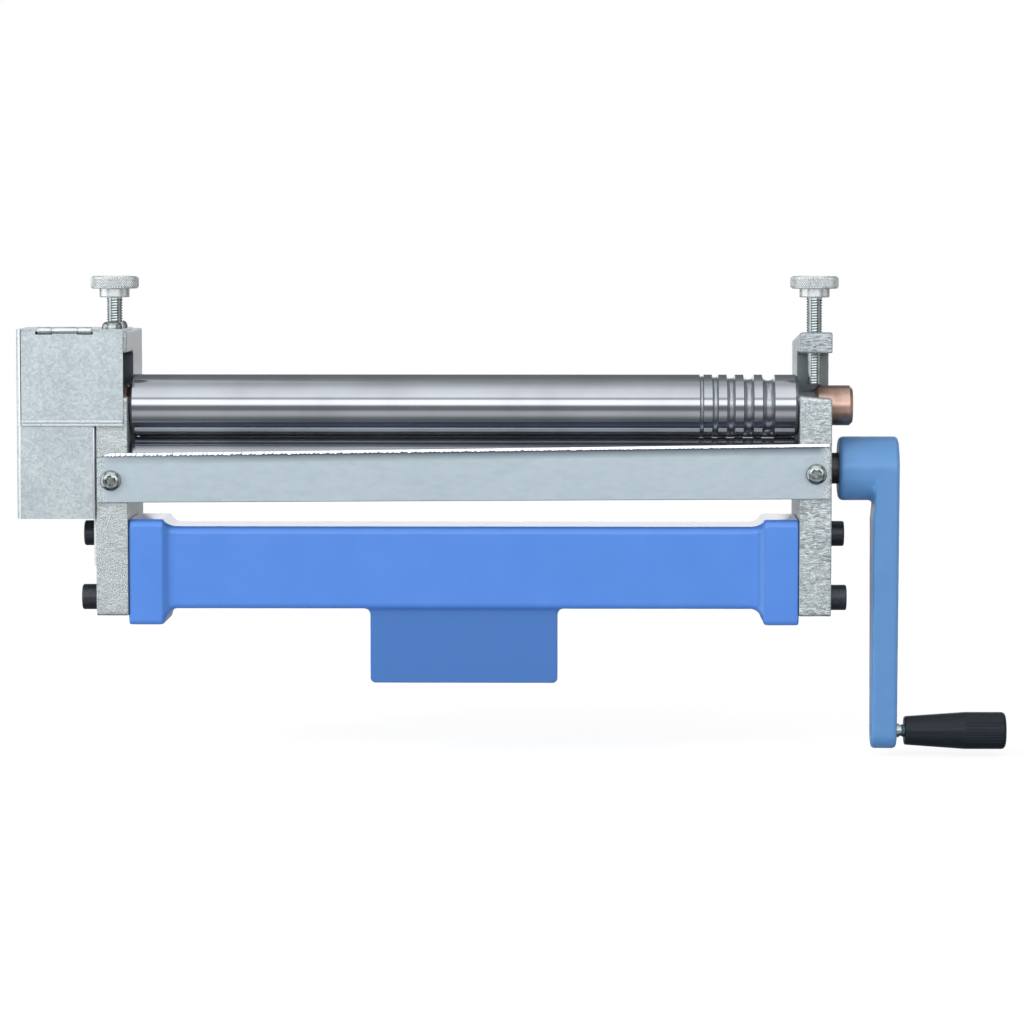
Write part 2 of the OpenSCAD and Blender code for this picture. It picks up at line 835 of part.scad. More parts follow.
module hinge_flap_leaf() {
    leaf_y = cover_front + sheet_t;
    leaf_top = barrel_z - barrel_d / 2 - contact_gap;
    x0 = barrel_x + barrel_length * knuckle_shares[1] + knuckle_gap;
    x1 = barrel_x + barrel_length * knuckle_shares[2] - knuckle_gap;
    color("#b9bec2") difference() {
        union() {
            knuckle(1, pin_d);
            block(barrel_x, leaf_y, barrel_z - leaf_length, barrel_x + barrel_length,
                leaf_y + leaf_t, leaf_top);
            block(x0, leaf_y, leaf_top - over, x1, leaf_y + leaf_t, barrel_z - pin_d / 2);
        }
        translate([0, barrel_y, barrel_z]) along_x() translate([0, 0, barrel_x - over])
            cylinder(d = pin_d + 2 * running, h = barrel_length + 2 * over);
    }
}

module hinge_pin() {
    color("#8f9498") translate([0, barrel_y, barrel_z])
        bar(barrel_x, barrel_x + barrel_length, pin_d, running);
}

// Point of an involute at roll angle t, in degrees, from a base circle of radius rb
function involute(rb, t) = [rb * (cos(t) + t * PI / 180 * sin(t)),
    rb * (sin(t) - t * PI / 180 * cos(t))];
function turned(p, a) = [p[0] * cos(a) - p[1] * sin(a), p[0] * sin(a) + p[1] * cos(a)];
function mirrored(p) = [p[0], -p[1]];
// Roll angle at which the involute of a base circle rb reaches radius r
function roll_angle(rb, r) = sqrt(pow(r / rb, 2) - 1) * 180 / PI;

// Spur gear outline with a tooth on the +X axis
module gear_outline() {
    pitch_r = roll_d / 2;
    at_pitch = involute(gear_base_r, roll_angle(gear_base_r, pitch_r));
    half_tooth = 90 / gear_teeth - backlash / 2 / pitch_r * 180 / PI;
    turn_back = -half_tooth - atan2(at_pitch[1], at_pitch[0]);
    t_tip = roll_angle(gear_base_r, gear_tip_r);
    flank_steps = 5;
    flank = [for (i = [0 : flank_steps])
        turned(involute(gear_base_r, t_tip * i / flank_steps), turn_back)];
    foot = turned([gear_root_r, 0], turn_back);
    tooth = concat([foot], flank, [for (i = [flank_steps : -1 : 0]) mirrored(flank[i])],
        [mirrored(foot)]);
    polygon([for (k = [0 : gear_teeth - 1], p = tooth) turned(p, k * 360 / gear_teeth)]);
}

// Gear on the left journal with a tooth at the top, bored and keyed
module gear(z) {
    difference() {
        translate([0, axis_y, z]) rotate([0, 90, 0]) rotate(180)
            translate([0, 0, gear_far_x]) linear_extrude(gear_width) gear_outline();
        translate([0, axis_y, z]) along_x() translate([0, 0, gear_far_x - over])
            cylinder(d = journal_d, h = gear_width + 2 * over);
        gear_key_way(z, over);
    }
}

// Key seat at the rear of a journal, run out at both ends by extra
module gear_key_way(z, extra) {
    y0 = axis_y + journal_d / 2 - key_h / 2;
    block(gear_far_x - extra, y0, z - key_w / 2, gear_near_x + extra, y0 + key_h, z + key_w / 2);
}

module lower_gear() {
    color("#8b8f94") gear(lower_z);
}

module upper_gear() {
    color("#8b8f94") gear(upper_z);
}

module lower_gear_key() {
    color("#70757a") gear_key_way(lower_z, 0);
}

module upper_gear_key() {
    color("#70757a") gear_key_way(upper_z, 0);
}

// Open ring in the groove at the end of a left journal
module retaining_ring(z) {
    gap_w = ring_od / 3;
    translate([0, axis_y, z]) difference() {
        sleeve(gear_far_x - ring_t, gear_far_x, ring_od, journal_d - 2 * ring_groove, 0);
        block(gear_far_x - ring_t - over, -gap_w / 2, -ring_od, gear_far_x + over, gap_w / 2, 0);
    }
}

module lower_retaining_ring() {
    color("#3a3d42") retaining_ring(lower_z);
}

module upper_retaining_ring() {
    color("#3a3d42") retaining_ring(upper_z);
}

// Left journal with its key seat and ring groove, drawn on the roll's own axis
module left_journal() {
    difference() {
        bar(gear_end_x, -roll_half + over, journal_d);
        along_x() translate([0, 0, gear_far_x - ring_t]) difference() {
            cylinder(d = journal_d + over, h = ring_t);
            cylinder(d = journal_d - 2 * ring_groove, h = ring_t);
        }
        translate([0, -axis_y, 0]) gear_key_way(0, 0);
    }
}

module lower_roll() {
    color("#9aa0a6") translate([0, axis_y, lower_z]) union() {
        bar(-roll_half, roll_half, roll_d, roll_edge);
        left_journal();
        bar(roll_half - over, shaft_end_x, journal_d);
    }
}

// Diameter of groove i, and its centre from the right end of the roll
function groove_d(i) = groove_first_d + i * groove_step_d;
function groove_from_end(i) = i == groove_count - 1 ? groove_end_land + groove_d(i) / 2
    : groove_from_end(i + 1) + groove_d(i + 1) / 2 + groove_land + groove_d(i) / 2;

module upper_roll() {
    journal_end = inner_x + bush_slid_out + bush_length - journal_over;
    color("#9aa0a6") translate([0, axis_y, upper_z]) union() {
        difference() {
            bar(-roll_half, roll_half, roll_d, roll_edge);
            for (i = [0 : groove_count - 1]) along_x() rotate_extrude()
                translate([roll_d / 2, roll_half - groove_from_end(i)]) circle(d = groove_d(i));
        }
        left_journal();
        bar(roll_half - over, journal_end, journal_d);
    }
}

module rear_roll() {
    journal_end = outer_x - rear_bush_gap;
    color("#9aa0a6") translate([0, rear_y, rear_z]) union() {
        bar(-roll_half, roll_half, roll_d, roll_edge);
        bar(-journal_end, -roll_half + over, journal_d);
        bar(roll_half - over, journal_end, journal_d);
    }
}

// Outline of the arm in Y and Z, narrowing from the hub to the handle
module arm_outline(inset) {
    hub_r = hub_d / 2 - inset;
    end_r = arm_end_w / 2 - inset;
    lean = asin((hub_r - end_r) / crank_radius);
    translate([axis_y, lower_z]) {
        circle(hub_r);
        translate([0, -crank_radius]) circle(end_r);
        polygon([[-hub_r * cos(lean), hub_r * sin(-lean)], [hub_r * cos(lean), hub_r * sin(-lean)],
            [end_r * cos(lean), -crank_radius - end_r * sin(lean)],
            [-end_r * cos(lean), -crank_radius - end_r * sin(lean)]]);
    }
}

module crank_arm() {
    color("#6495d2") difference() {
        union() {
            translate([0, axis_y, lower_z]) round_bar(hub_x, crank_x - arm_r, hub_d, hub_edge);
            arm_slab();
            arm_root();
        }
        translate([0, axis_y, lower_z]) along_x() cylinder(d = journal_d, h = crank_x + over);
        translate([arm_x - over, axis_y, handle_z]) along_x()
            cylinder(d = spindle_d, h = arm_t + 2 * over);
        crank_screw_hole();
    }
}

// The arm with its edges rounded by three slabs, each wider and thinner than the last
module arm_slab() {
    hull() for (a = [0, 45, 90])
        side_pull(arm_x + arm_r * (1 - sin(a)), crank_x - arm_r * (1 - sin(a)))
            arm_outline(arm_r * (1 - cos(a)), $fn = 32);
}

// Fillet where the hub's underside runs into the arm
module arm_root() {
    root_r = arm_r * 2;
    translate([0, axis_y, lower_z]) intersection() {
        along_x() rotate_extrude() translate([hub_d / 2 - turned_edge, arm_x])
            mirror([0, 1]) polygon([[-over, -over], [root_r, -over], [root_r, 0],
                [root_r / 3, root_r / 3], [0, root_r], [-over, root_r]]);
        translate([0, -axis_y, -lower_z]) side_pull(arm_x - root_r, arm_x + over) arm_outline(arm_r);
    }
}

module crank_screw_hole() {
    translate([hub_x + (hub_length - arm_t) / 2, axis_y, lower_z]) rotate([-90, 0, 0])
        cylinder(d = set_screw_d, h = hub_d);
}

module crank_set_screw() {
    x = hub_x + (hub_length - arm_t) / 2;
    length = (hub_d - journal_d) / 2 - set_screw_sink;
    color("#26282c") translate([x, axis_y + journal_d / 2 + running, lower_z])
        rotate([-90, 0, 0]) difference() {
            cylinder(d = set_screw_d, h = length);
            translate([0, 0, length / 2])
                cylinder(d = set_screw_d / 2 * hex_to_circle, h = length, $fn = 6);
        }
}

// Spindle through the arm: riveted end, collar, neck, bearing pin and head in the grip
module handle_spindle() {
    pin_r = spindle_d / 2;
    collar_r = spindle_collar_d / 2;
    head_x = grip_x + grip_length - grip_recess;
    rivet_r = pin_r + turned_edge;
    color("#c9cdcf") translate([0, axis_y, handle_z]) along_x() rotate_extrude() polygon([
        [0, arm_x - turned_edge], [pin_r, arm_x - turned_edge], [rivet_r, arm_x],
        [pin_r, arm_x], [pin_r, crank_x], [collar_r, crank_x],
        [collar_r, crank_x + spindle_neck], [pin_r - turned_edge / 2, crank_x + spindle_neck],
        [pin_r - turned_edge / 2, grip_x - spindle_neck], [collar_r, grip_x - contact_gap],
        [pin_r, grip_x - contact_gap], [pin_r, head_x + contact_gap],
        [spindle_head_d / 2, head_x + contact_gap],
        [spindle_head_d / 2, head_x + spindle_head_h], [0, head_x + spindle_head_h]]);
}

module handle_grip() {
    end_x = grip_x + grip_length;
    flute_x = grip_x + grip_taper;
    round_r = 2;
    flute_r = PI * grip_d / flute_count / 4;
    color("#2b2d31") translate([0, axis_y, handle_z]) difference() {
        along_x() rotate_extrude() {
            polygon([[0, grip_x], [grip_small_d / 2 - turned_edge, grip_x],
                [grip_small_d / 2, grip_x + turned_edge], [grip_d / 2, flute_x],
                [grip_d / 2, end_x - round_r], [0, end_x - round_r]]);
            rect(0, end_x - 2 * round_r, grip_d / 2 - round_r, end_x);
            translate([grip_d / 2 - round_r, end_x - round_r]) circle(round_r);
        }
        along_x() translate([0, 0, grip_x - over])
            cylinder(r = spindle_d / 2 + grip_play, h = grip_length + 2 * over);
        along_x() translate([0, 0, end_x - grip_recess])
            cylinder(r = spindle_head_d / 2 + over, h = grip_recess + over);
        for (i = [0 : flute_count - 1]) rotate([i * 360 / flute_count, 0, 0])
            translate([flute_x, grip_d / 2 + flute_r / 2, 0]) along_x()
                cylinder(r = flute_r, h = grip_length - grip_taper - round_r, $fn = 24);
    }
}

base_casting();
left_side_plate();
right_side_plate();
base_bolts();
left_lower_bush();
right_lower_bush();
guard_strip();
guard_screws();
cover_box();
cover_mounting_plate();
cover_screws();
hinge_fixed_leaf();
hinge_pin();
left_rear_keeper();
right_rear_keeper();
keeper_screws();
cover_flap();
hinge_flap_leaf();
lower_roll();
lower_gear();
lower_gear_key();
lower_retaining_ring();
crank_arm();
crank_set_screw();
handle_spindle();
handle_grip();
left_upper_bush();
right_upper_bush();
upper_roll();
upper_gear();
upper_gear_key();
upper_retaining_ring();
left_thumbscrew();
right_thumbscrew();
left_rear_bush();
right_rear_bush();
rear_roll();
left_rear_screw();
right_rear_screw();
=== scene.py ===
import math

import bmesh
import bpy
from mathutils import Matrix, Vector, noise


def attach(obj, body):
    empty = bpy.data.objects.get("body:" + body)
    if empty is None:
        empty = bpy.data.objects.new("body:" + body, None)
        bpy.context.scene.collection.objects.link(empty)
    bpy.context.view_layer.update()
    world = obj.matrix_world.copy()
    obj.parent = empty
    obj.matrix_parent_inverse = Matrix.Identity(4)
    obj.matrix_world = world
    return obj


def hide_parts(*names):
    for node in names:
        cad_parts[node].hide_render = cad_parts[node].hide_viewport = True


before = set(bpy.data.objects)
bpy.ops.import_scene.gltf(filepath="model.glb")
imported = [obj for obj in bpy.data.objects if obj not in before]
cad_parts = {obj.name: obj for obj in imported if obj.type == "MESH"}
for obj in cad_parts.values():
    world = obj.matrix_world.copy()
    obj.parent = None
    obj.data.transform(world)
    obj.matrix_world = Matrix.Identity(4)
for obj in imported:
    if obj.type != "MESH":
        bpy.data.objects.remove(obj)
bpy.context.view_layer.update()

mm = 0.001
print("frame loaded")


# sRGB hex to the linear values that shaders read
def linear(code):
    parts = [int(code[i:i + 2], 16) / 255 for i in (1, 3, 5)]
    return [p / 12.92 if p <= 0.04045 else ((p + 0.055) / 1.055) ** 2.4 for p in parts] + [1.0]


# adds a shader node; inputs take values or other nodes' sockets, stops fill a colour ramp
def addNode(tree, kind, inputs=None, stops=None, **settings):
    node = tree.nodes.new("ShaderNode" + kind)
    for name, value in settings.items():
        setattr(node, name, value)
    for key, value in (inputs or {}).items():
        if isinstance(value, bpy.types.NodeSocket):
            tree.links.new(value, node.inputs[key])
        else:
            node.inputs[key].default_value = value
    if stops:
        ramp = node.color_ramp
        for place, colour in stops[1:-1]:
            ramp.elements.new(place).color = colour
        ramp.elements[0].position, ramp.elements[0].color = stops[0]
        ramp.elements[-1].position, ramp.elements[-1].color = stops[-1]
    return node


# short forms of the nodes that every finish uses; each gives back the socket to go on with
def calc(tree, operation, *values):
    return addNode(tree, "Math", dict(enumerate(values)), operation=operation).outputs[0]


def ranged(tree, value, low, high, toLow=0.0, toHigh=1.0):
    return addNode(tree, "MapRange", {"Value": value, "From Min": low, "From Max": high,
                                      "To Min": toLow, "To Max": toHigh}).outputs[0]


def mixColour(tree, share, first, second, blend="MIX"):
    return addNode(tree, "Mix", {0: share, 6: first, 7: second}, data_type="RGBA",
                   blend_type=blend).outputs[2]


def mixValue(tree, share, first, second):
    return addNode(tree, "Mix", {0: share, 2: first, 3: second}, data_type="FLOAT").outputs[0]


def colourRamp(tree, value, *stops):
    return addNode(tree, "ValToRGB", {0: value}, stops=stops).outputs["Color"]


def cloudy(tree, place, size, detail, **more):
    return addNode(tree, "TexNoise", {"Vector": place, "Scale": 1 / size, "Detail": detail,
                                      **more}).outputs["Fac"]


def axes(tree, vector):
    return addNode(tree, "SeparateXYZ", {0: vector}).outputs


def objectPlace(tree):
    return addNode(tree, "TexCoord").outputs["Object"]


# the empty node tree of a new material or world
def emptyTree(owner):
    owner.use_nodes = True
    owner.node_tree.nodes.clear()
    return owner.node_tree


# an empty material with its surface shader and the object coordinates, stretched if asked
def startMaterial(name, stretch=(1, 1, 1), **sockets):
    material = bpy.data.materials.new(name)
    tree = emptyTree(material)
    surface = addNode(tree, "BsdfPrincipled", sockets)
    addNode(tree, "OutputMaterial", {"Surface": surface.outputs[0]})
    place = objectPlace(tree)
    if stretch != (1, 1, 1):
        place = addNode(tree, "Mapping", {"Vector": place, "Scale": stretch}).outputs[0]
    return material, tree, surface, place


# links colour, roughness and bump to the surface; inputs are the Bump node's
def closeMaterial(tree, surface, colour, gloss, **inputs):
    tree.links.new(colour, surface.inputs["Base Color"])
    if gloss:
        tree.links.new(gloss, surface.inputs["Roughness"])
    bump = addNode(tree, "Bump", inputs)
    tree.links.new(bump.outputs["Normal"], surface.inputs["Normal"])


def grey(value):
    return [value, value, value, 1.0]


# sprayed enamel on a sand casting: soft gloss, faint orange peel, low swells of the casting
def castEnamel(name, finish):
    material, tree, surface, place = startMaterial(name, **{
        "Roughness": finish["roughness"], "Coat Weight": finish["coat"],
        "Coat Roughness": finish["coatRoughness"]})
    swell = cloudy(tree, place, finish["swellSize"], 2.0)
    colour = colourRamp(tree, swell, (0.3, linear(finish["shade"])), (0.7, linear(finish["colour"])))
    if "lugShade" in finish:
        # painted shade: the vice lug under the beam is painted darker, standing in for the shade it lies
        # in below the beam
        spot = axes(tree, place)
        low = ranged(tree, spot["Z"], finish["lugShadeBelow"], finish["lugShadeBelow"] - finish["lugShadeDeep"])
        aside = calc(tree, "ABSOLUTE", spot["X"])
        inner = ranged(tree, aside, finish["lugShadeHalf"], finish["lugShadeHalf"] - finish["lugShadeFade"])
        lugShade = calc(tree, "MULTIPLY", low, inner)
        colour = mixColour(tree, lugShade, colour, linear(finish["lugShade"]))
    if "flank" in finish:
        # painted shade: faces that turn to the side, such as the flares beside the blocks, are painted
        # darker
        facing = axes(tree, addNode(tree, "NewGeometry").outputs["Normal"])
        flank = ranged(tree, calc(tree, "ABSOLUTE", facing["X"]), 0.25, 0.6)
        colour = mixColour(tree, flank, colour, linear(finish["flank"]))
    peel = cloudy(tree, place, finish["peelSize"], 1.0)
    peelBump = addNode(tree, "Bump", {"Height": peel, "Strength": 0.35, "Distance": finish["peelDepth"]})
    closeMaterial(tree, surface, colour, None, Height=swell, Strength=0.5,
                  Distance=finish["swellDepth"], Normal=peelBump.outputs["Normal"])
    return material


# bright zinc over a rough casting: near level wrinkles in front, smoother sides, slots painted dark as
# shade and dull
def zincCasting(name, finish):
    material, tree, surface, place = startMaterial(name, **{"Metallic": finish["metallic"]})
    level = addNode(tree, "Mapping", {"Vector": place, "Scale": (0.2, 0.2, 1.0)}).outputs[0]
    wrinkle = cloudy(tree, level, finish["wrinkleSize"], 2.0, Roughness=0.5, Distortion=1.4)
    grit = cloudy(tree, place, finish["gritSize"], 3.0)
    patch = cloudy(tree, place, finish["patchSize"], 1.0)
    where = ranged(tree, patch, 0.4, 0.6, finish["wrinkleLow"], finish["wrinkleHigh"])
    height = mixValue(tree, where, grit, wrinkle)
    facing = axes(tree, addNode(tree, "NewGeometry").outputs["Normal"])
    skin = ranged(tree, calc(tree, "ABSOLUTE", facing["X"]), 0.3, 0.9, 1.0, 0.3)
    tone = colourRamp(tree, height, (0.36, linear(finish["pit"])), (0.5, linear(finish["colour"])),
                      (0.62, linear(finish["crest"])))
    plain = mixColour(tree, skin, linear(finish["side"]), tone)
    # the hook over the slot is darker, fading in upward
    spot = axes(tree, place)
    hook = ranged(tree, spot["Z"], finish["hookToneFrom"], finish["hookToneTo"])
    plain = mixColour(tree, hook, plain, linear(finish["hookTone"]), "MULTIPLY")
    # painted shade: walls that face the front from inside the slot are painted dark, and are dull
    deep = ranged(tree, spot["Y"], finish["slotFrom"], finish["slotTo"])
    ahead = ranged(tree, facing["Y"], -0.3, -0.7)
    inside = calc(tree, "MULTIPLY", deep, ahead)
    whole = mixColour(tree, inside, plain, linear(finish["slot"]))
    gloss = ranged(tree, grit, 0.3, 0.7, finish["roughLow"], finish["roughHigh"])
    gloss = mixValue(tree, inside, gloss, finish["slotRough"])
    closeMaterial(tree, surface, whole, gloss, Height=height, Strength=skin,
                  Distance=finish["wrinkleDepth"])
    return material


# hot dipped zinc on thin sheet: fine mottled spangle, dull gloss, faint rolling streaks
def galvanisedSteel(name, finish):
    material, tree, surface, place = startMaterial(name, finish.get("stretch", (1, 1, 1)), **{
        "Metallic": finish["metallic"]})
    spangle = addNode(tree, "TexVoronoi", {"Vector": place, "Scale": 1 / finish["spangleSize"],
                                           "Randomness": 1.0})
    cell = addNode(tree, "SeparateColor", {0: spangle.outputs["Color"]})
    mottle = cloudy(tree, place, finish["mottleSize"], 5.0, Roughness=0.7)
    cloud = cloudy(tree, place, finish["cloudSize"], 2.0)
    mixed = mixValue(tree, finish["spangle"], mottle, cell.outputs[0])
    grain = mixValue(tree, finish["cloud"], mixed, cloud)
    colour = colourRamp(tree, grain, (0.3, linear(finish["dark"])), (0.5, linear(finish["colour"])),
                        (0.72, linear(finish["light"])))
    if "underLipShade" in finish:
        # painted shade under the lip of the filed upper edge: darker towards that edge, which rises
        # along X, and least at the left
        spot = axes(tree, objectPlace(tree))
        line = calc(tree, "MULTIPLY_ADD", spot["X"], finish["sawnRise"], finish["sawnHeight"])
        below = calc(tree, "SUBTRACT", line, spot["Z"])
        near = ranged(tree, below, finish["sawnEdge"], finish["sawnReach"], 1.0, 0.0)
        along = ranged(tree, spot["X"], finish["sawnWeak"], finish["sawnFull"],
                       finish["sawnLeast"], 1.0)
        shade = calc(tree, "MULTIPLY", near, along)
        colour = mixColour(tree, shade, colour, linear(finish["underLipShade"]))
        # the sheared ends are speckled where the zinc broke
        speck = cloudy(tree, objectPlace(tree), finish["endSpeck"], 2.0)
        broken = colourRamp(tree, speck, (0.4, linear(finish["endDark"])),
                            (0.54, linear(finish["endLight"])))
        atEnd = ranged(tree, calc(tree, "ABSOLUTE", spot["X"]), finish["endFrom"], finish["endTo"],
                       0.0, finish["endShare"])
        colour = mixColour(tree, atEnd, colour, broken)
    gloss = ranged(tree, grain, 0.25, 0.75, finish["roughLow"], finish["roughHigh"])
    closeMaterial(tree, surface, colour, gloss, Height=mottle, Strength=0.5,
                  Distance=finish["grainDepth"])
    return material


# lathe or grinder finish: fine rings round the X axis, so they vary along X only
def turnedMetal(name, finish):
    material, tree, surface, place = startMaterial(name, (1.0, 0.02, 0.02), **{
        "Metallic": finish.get("metallic", 1.0)})
    rings = cloudy(tree, place, finish["ringSize"], 3.0, Roughness=0.6)
    spot = cloudy(tree, objectPlace(tree), finish["stainSize"], 3.0)
    colour = colourRamp(tree, spot, (0.3, linear(finish["stain"])), (0.6, linear(finish["colour"])))
    gloss = ranged(tree, rings, 0.3, 0.7, finish["roughLow"], finish["roughHigh"])
    if "grooveAxis" in finish:
        # what lies deeper than the ground surface keeps the form tool's duller finish
        y, z = finish["grooveAxis"]
        spoke = addNode(tree, "VectorMath", {0: objectPlace(tree), 1: (0, y, z)}, operation="SUBTRACT")
        spoke = addNode(tree, "VectorMath", {0: spoke.outputs[0], 1: (0, 1, 1)}, operation="MULTIPLY")
        reach = addNode(tree, "VectorMath", {0: spoke.outputs[0]}, operation="LENGTH")
        dull = ranged(tree, reach.outputs["Value"], finish["ground"],
                      finish["ground"] - finish["groundFade"], 0.0, finish["grooveRough"])
        gloss = calc(tree, "MAXIMUM", gloss, dull)
    if "bareBeyond" in finish:
        # past the plate the crank's shaft is only turned, dark and oily
        along = axes(tree, objectPlace(tree))["X"]
        bare = ranged(tree, along, finish["bareBeyond"], finish["bareBeyond"] + finish["bareFade"])
        colour = mixColour(tree, bare, colour, linear(finish["bare"]))
        gloss = mixValue(tree, bare, gloss, finish["bareRough"])
    closeMaterial(tree, surface, colour, gloss, Height=rings, Strength=finish["ringStrength"],
                  Distance=finish["ringDepth"])
    return material


# small plated or blackened parts: an even film with faint tumbling marks
def platedSteel(name, finish):
    material, tree, surface, place = startMaterial(name, **{
        "Metallic": finish["metallic"], "Specular IOR Level": finish.get("specular", 0.5)})
    film = cloudy(tree, place, finish["filmSize"], 4.0, Roughness=0.6)
    colour = colourRamp(tree, film, (0.34, linear(finish["dark"])), (0.62, linear(finish["colour"])))
    gloss = ranged(tree, film, 0.3, 0.7, finish["roughLow"], finish["roughHigh"])
    closeMaterial(tree, surface, colour, gloss, Height=film, Strength=0.3, Distance=finish["filmDepth"])
    return material


# painted shade: the lug colour darkens the vice lug below the beam, the flank colour the faces turned to
# the side
baseFinish = {"colour": "#4f8ae3", "shade": "#4b86df", "lugShade": "#3f75be", "lugShadeBelow": 36.5 * mm,
              "lugShadeDeep": 2 * mm, "lugShadeHalf": 60 * mm, "lugShadeFade": 4 * mm, "flank": "#4580d1",
              "roughness": 0.36, "coat": 0.5, "coatRoughness": 0.12, "peelSize": 1.4 * mm,
              "peelDepth": 0.03 * mm, "swellSize": 22 * mm, "swellDepth": 0.25 * mm}
crankFinish = {"colour": "#5b92cc", "shade": "#568ec8", "roughness": 0.4, "coat": 0.35,
               "coatRoughness": 0.24, "peelSize": 1.4 * mm, "peelDepth": 0.03 * mm,
               "swellSize": 16 * mm, "swellDepth": 0.3 * mm}
# the wrinkles are drawn about twice as large as the real ones, so that they show
# the slot colour is painted shade for the walls inside the slots
plateFinish = {"colour": "#afb8bb", "side": "#abb2b5", "pit": "#7e878a", "crest": "#dde3e4",
               "slot": "#7f898d", "metallic": 0.65, "roughLow": 0.3, "roughHigh": 0.46,
               "wrinkleSize": 0.85 * mm, "gritSize": 0.6 * mm, "patchSize": 16 * mm,
               "wrinkleLow": 0.5, "wrinkleHigh": 0.95, "wrinkleDepth": 0.12 * mm,
               "hookTone": "#e2e3e5", "hookToneFrom": 148 * mm, "hookToneTo": 156 * mm, "slotRough": 0.6,
               "slotFrom": -21.5 * mm, "slotTo": -20 * mm}
# the left casting came out grainier and has hardly a wrinkle; its slot lies behind the flap, so its
# painted shade is darker
leftPlateFinish = dict(plateFinish, slot="#565c64", side="#9da3a8", colour="#bac1c1", gritSize=0.5 * mm,
                       wrinkleLow=0.0, wrinkleHigh=0.45)
sheetFinish = {"colour": "#b8c3c8", "dark": "#8f9ca3", "light": "#dfe5e7", "metallic": 0.7,
               "roughLow": 0.32, "roughHigh": 0.48, "spangle": 0.15, "spangleSize": 1.2 * mm,
               "mottleSize": 0.5 * mm, "cloud": 0.15, "cloudSize": 22 * mm, "grainDepth": 0.05 * mm}
# painted highlight for the sheet's folds and cut edges
foldHighlightFinish = {"colour": "#f4f7f7", "dark": "#e4e9ea", "metallic": 0.1, "roughLow": 0.3,
              "roughHigh": 0.42, "filmSize": 1.0 * mm, "filmDepth": 0.02 * mm}
# the colour for below the filed edge is painted shade under its lip
stripFinish = {"colour": "#b3c2ca", "dark": "#acbbc4", "light": "#bbc8cf", "metallic": 0.55,
               "roughLow": 0.34, "roughHigh": 0.42, "spangle": 0.1, "spangleSize": 3 * mm,
               "mottleSize": 2.4 * mm, "cloud": 0.15, "cloudSize": 40 * mm,
               "grainDepth": 0.012 * mm, "stretch": (0.35, 1.0, 1.0), "underLipShade": "#616b76",
               "sawnHeight": 112.15 * mm, "sawnRise": 0.01394, "sawnEdge": 0.4 * mm,
               "sawnReach": 4.3 * mm, "sawnWeak": -170 * mm, "sawnFull": -90 * mm,
               "sawnLeast": 0.4, "endFrom": 169.5 * mm, "endTo": 173 * mm, "endShare": 0.8,
               "endDark": "#8f999c", "endLight": "#d3dadd", "endSpeck": 0.7 * mm}
# painted highlight: the hem and the cover's side return are painted lighter than the sheet
hemHighlightFinish = {"colour": "#cfd7db", "dark": "#bcc6cb", "metallic": 0.5, "roughLow": 0.26,
             "roughHigh": 0.36, "filmSize": 0.9 * mm, "filmDepth": 0.01 * mm}
# ground rolls: the rings are drawn ten times coarser than the grinding, so that they show
rollFinish = {"colour": "#a9adb3", "stain": "#9ea2a8", "metallic": 0.9, "roughLow": 0.07,
              "roughHigh": 0.12, "ringSize": 0.6 * mm, "ringDepth": 0.004 * mm,
              "ringStrength": 0.25, "stainSize": 30 * mm}
gearFinish = {"colour": "#8f9398", "stain": "#787c81", "roughLow": 0.22, "roughHigh": 0.38,
              "ringSize": 0.5 * mm, "ringDepth": 0.01 * mm, "ringStrength": 0.4, "stainSize": 8 * mm}
# the upper roll alone has wire grooves
groovedFinish = dict(rollFinish, grooveAxis=(-4 * mm, 133.3 * mm), ground=14.9 * mm,
                     groundFade=0.25 * mm, grooveRough=0.3)
# the lower roll alone has the crank's shaft
shaftFinish = dict(rollFinish, bareBeyond=175.8 * mm, bareFade=0.3 * mm, bare="#494847",
                   bareRough=0.42)
bronzeFinish = {"colour": "#bb9e92", "stain": "#9c8173", "roughLow": 0.3, "roughHigh": 0.4,
                "ringSize": 0.45 * mm, "ringDepth": 0.008 * mm, "ringStrength": 0.5, "stainSize": 7 * mm}
screwFinish = {"colour": "#a9b0b0", "dark": "#8b9494", "metallic": 1.0, "roughLow": 0.18,
               "roughHigh": 0.28, "filmSize": 2.0 * mm, "filmDepth": 0.01 * mm}
hingeFinish = {"colour": "#cdd3d6", "dark": "#bcc3c6", "metallic": 0.9, "roughLow": 0.22,
               "roughHigh": 0.3, "filmSize": 3.0 * mm, "filmDepth": 0.006 * mm}
filedFinish = {"colour": "#eceff1", "dark": "#d9dee1", "metallic": 0.9, "roughLow": 0.16,
               "roughHigh": 0.3, "filmSize": 1.0 * mm, "filmDepth": 0.03 * mm}
knurlFinish = {"colour": "#d9dddf", "dark": "#d0d5d6", "metallic": 0.6, "roughLow": 0.26,
               "roughHigh": 0.34, "filmSize": 1.6 * mm, "filmDepth": 0.002 * mm}
threadFinish = {"colour": "#d0d5d6", "dark": "#bfc5c6", "metallic": 1.0, "roughLow": 0.12,
                "roughHigh": 0.2, "filmSize": 2.0 * mm, "filmDepth": 0.004 * mm}
blackFinish = {"colour": "#3c4149", "dark": "#2d3137", "metallic": 0.5, "roughLow": 0.32,
               "roughHigh": 0.46, "filmSize": 1.1 * mm, "filmDepth": 0.015 * mm}
# moulded plastic: the same even film without metal, a faint spark-eroded grain
plasticFinish = {"colour": "#20272f", "dark": "#1b2129", "metallic": 0.0, "specular": 0.2,
                 "roughLow": 0.3, "roughHigh": 0.38, "filmSize": 0.8 * mm, "filmDepth": 0.012 * mm}

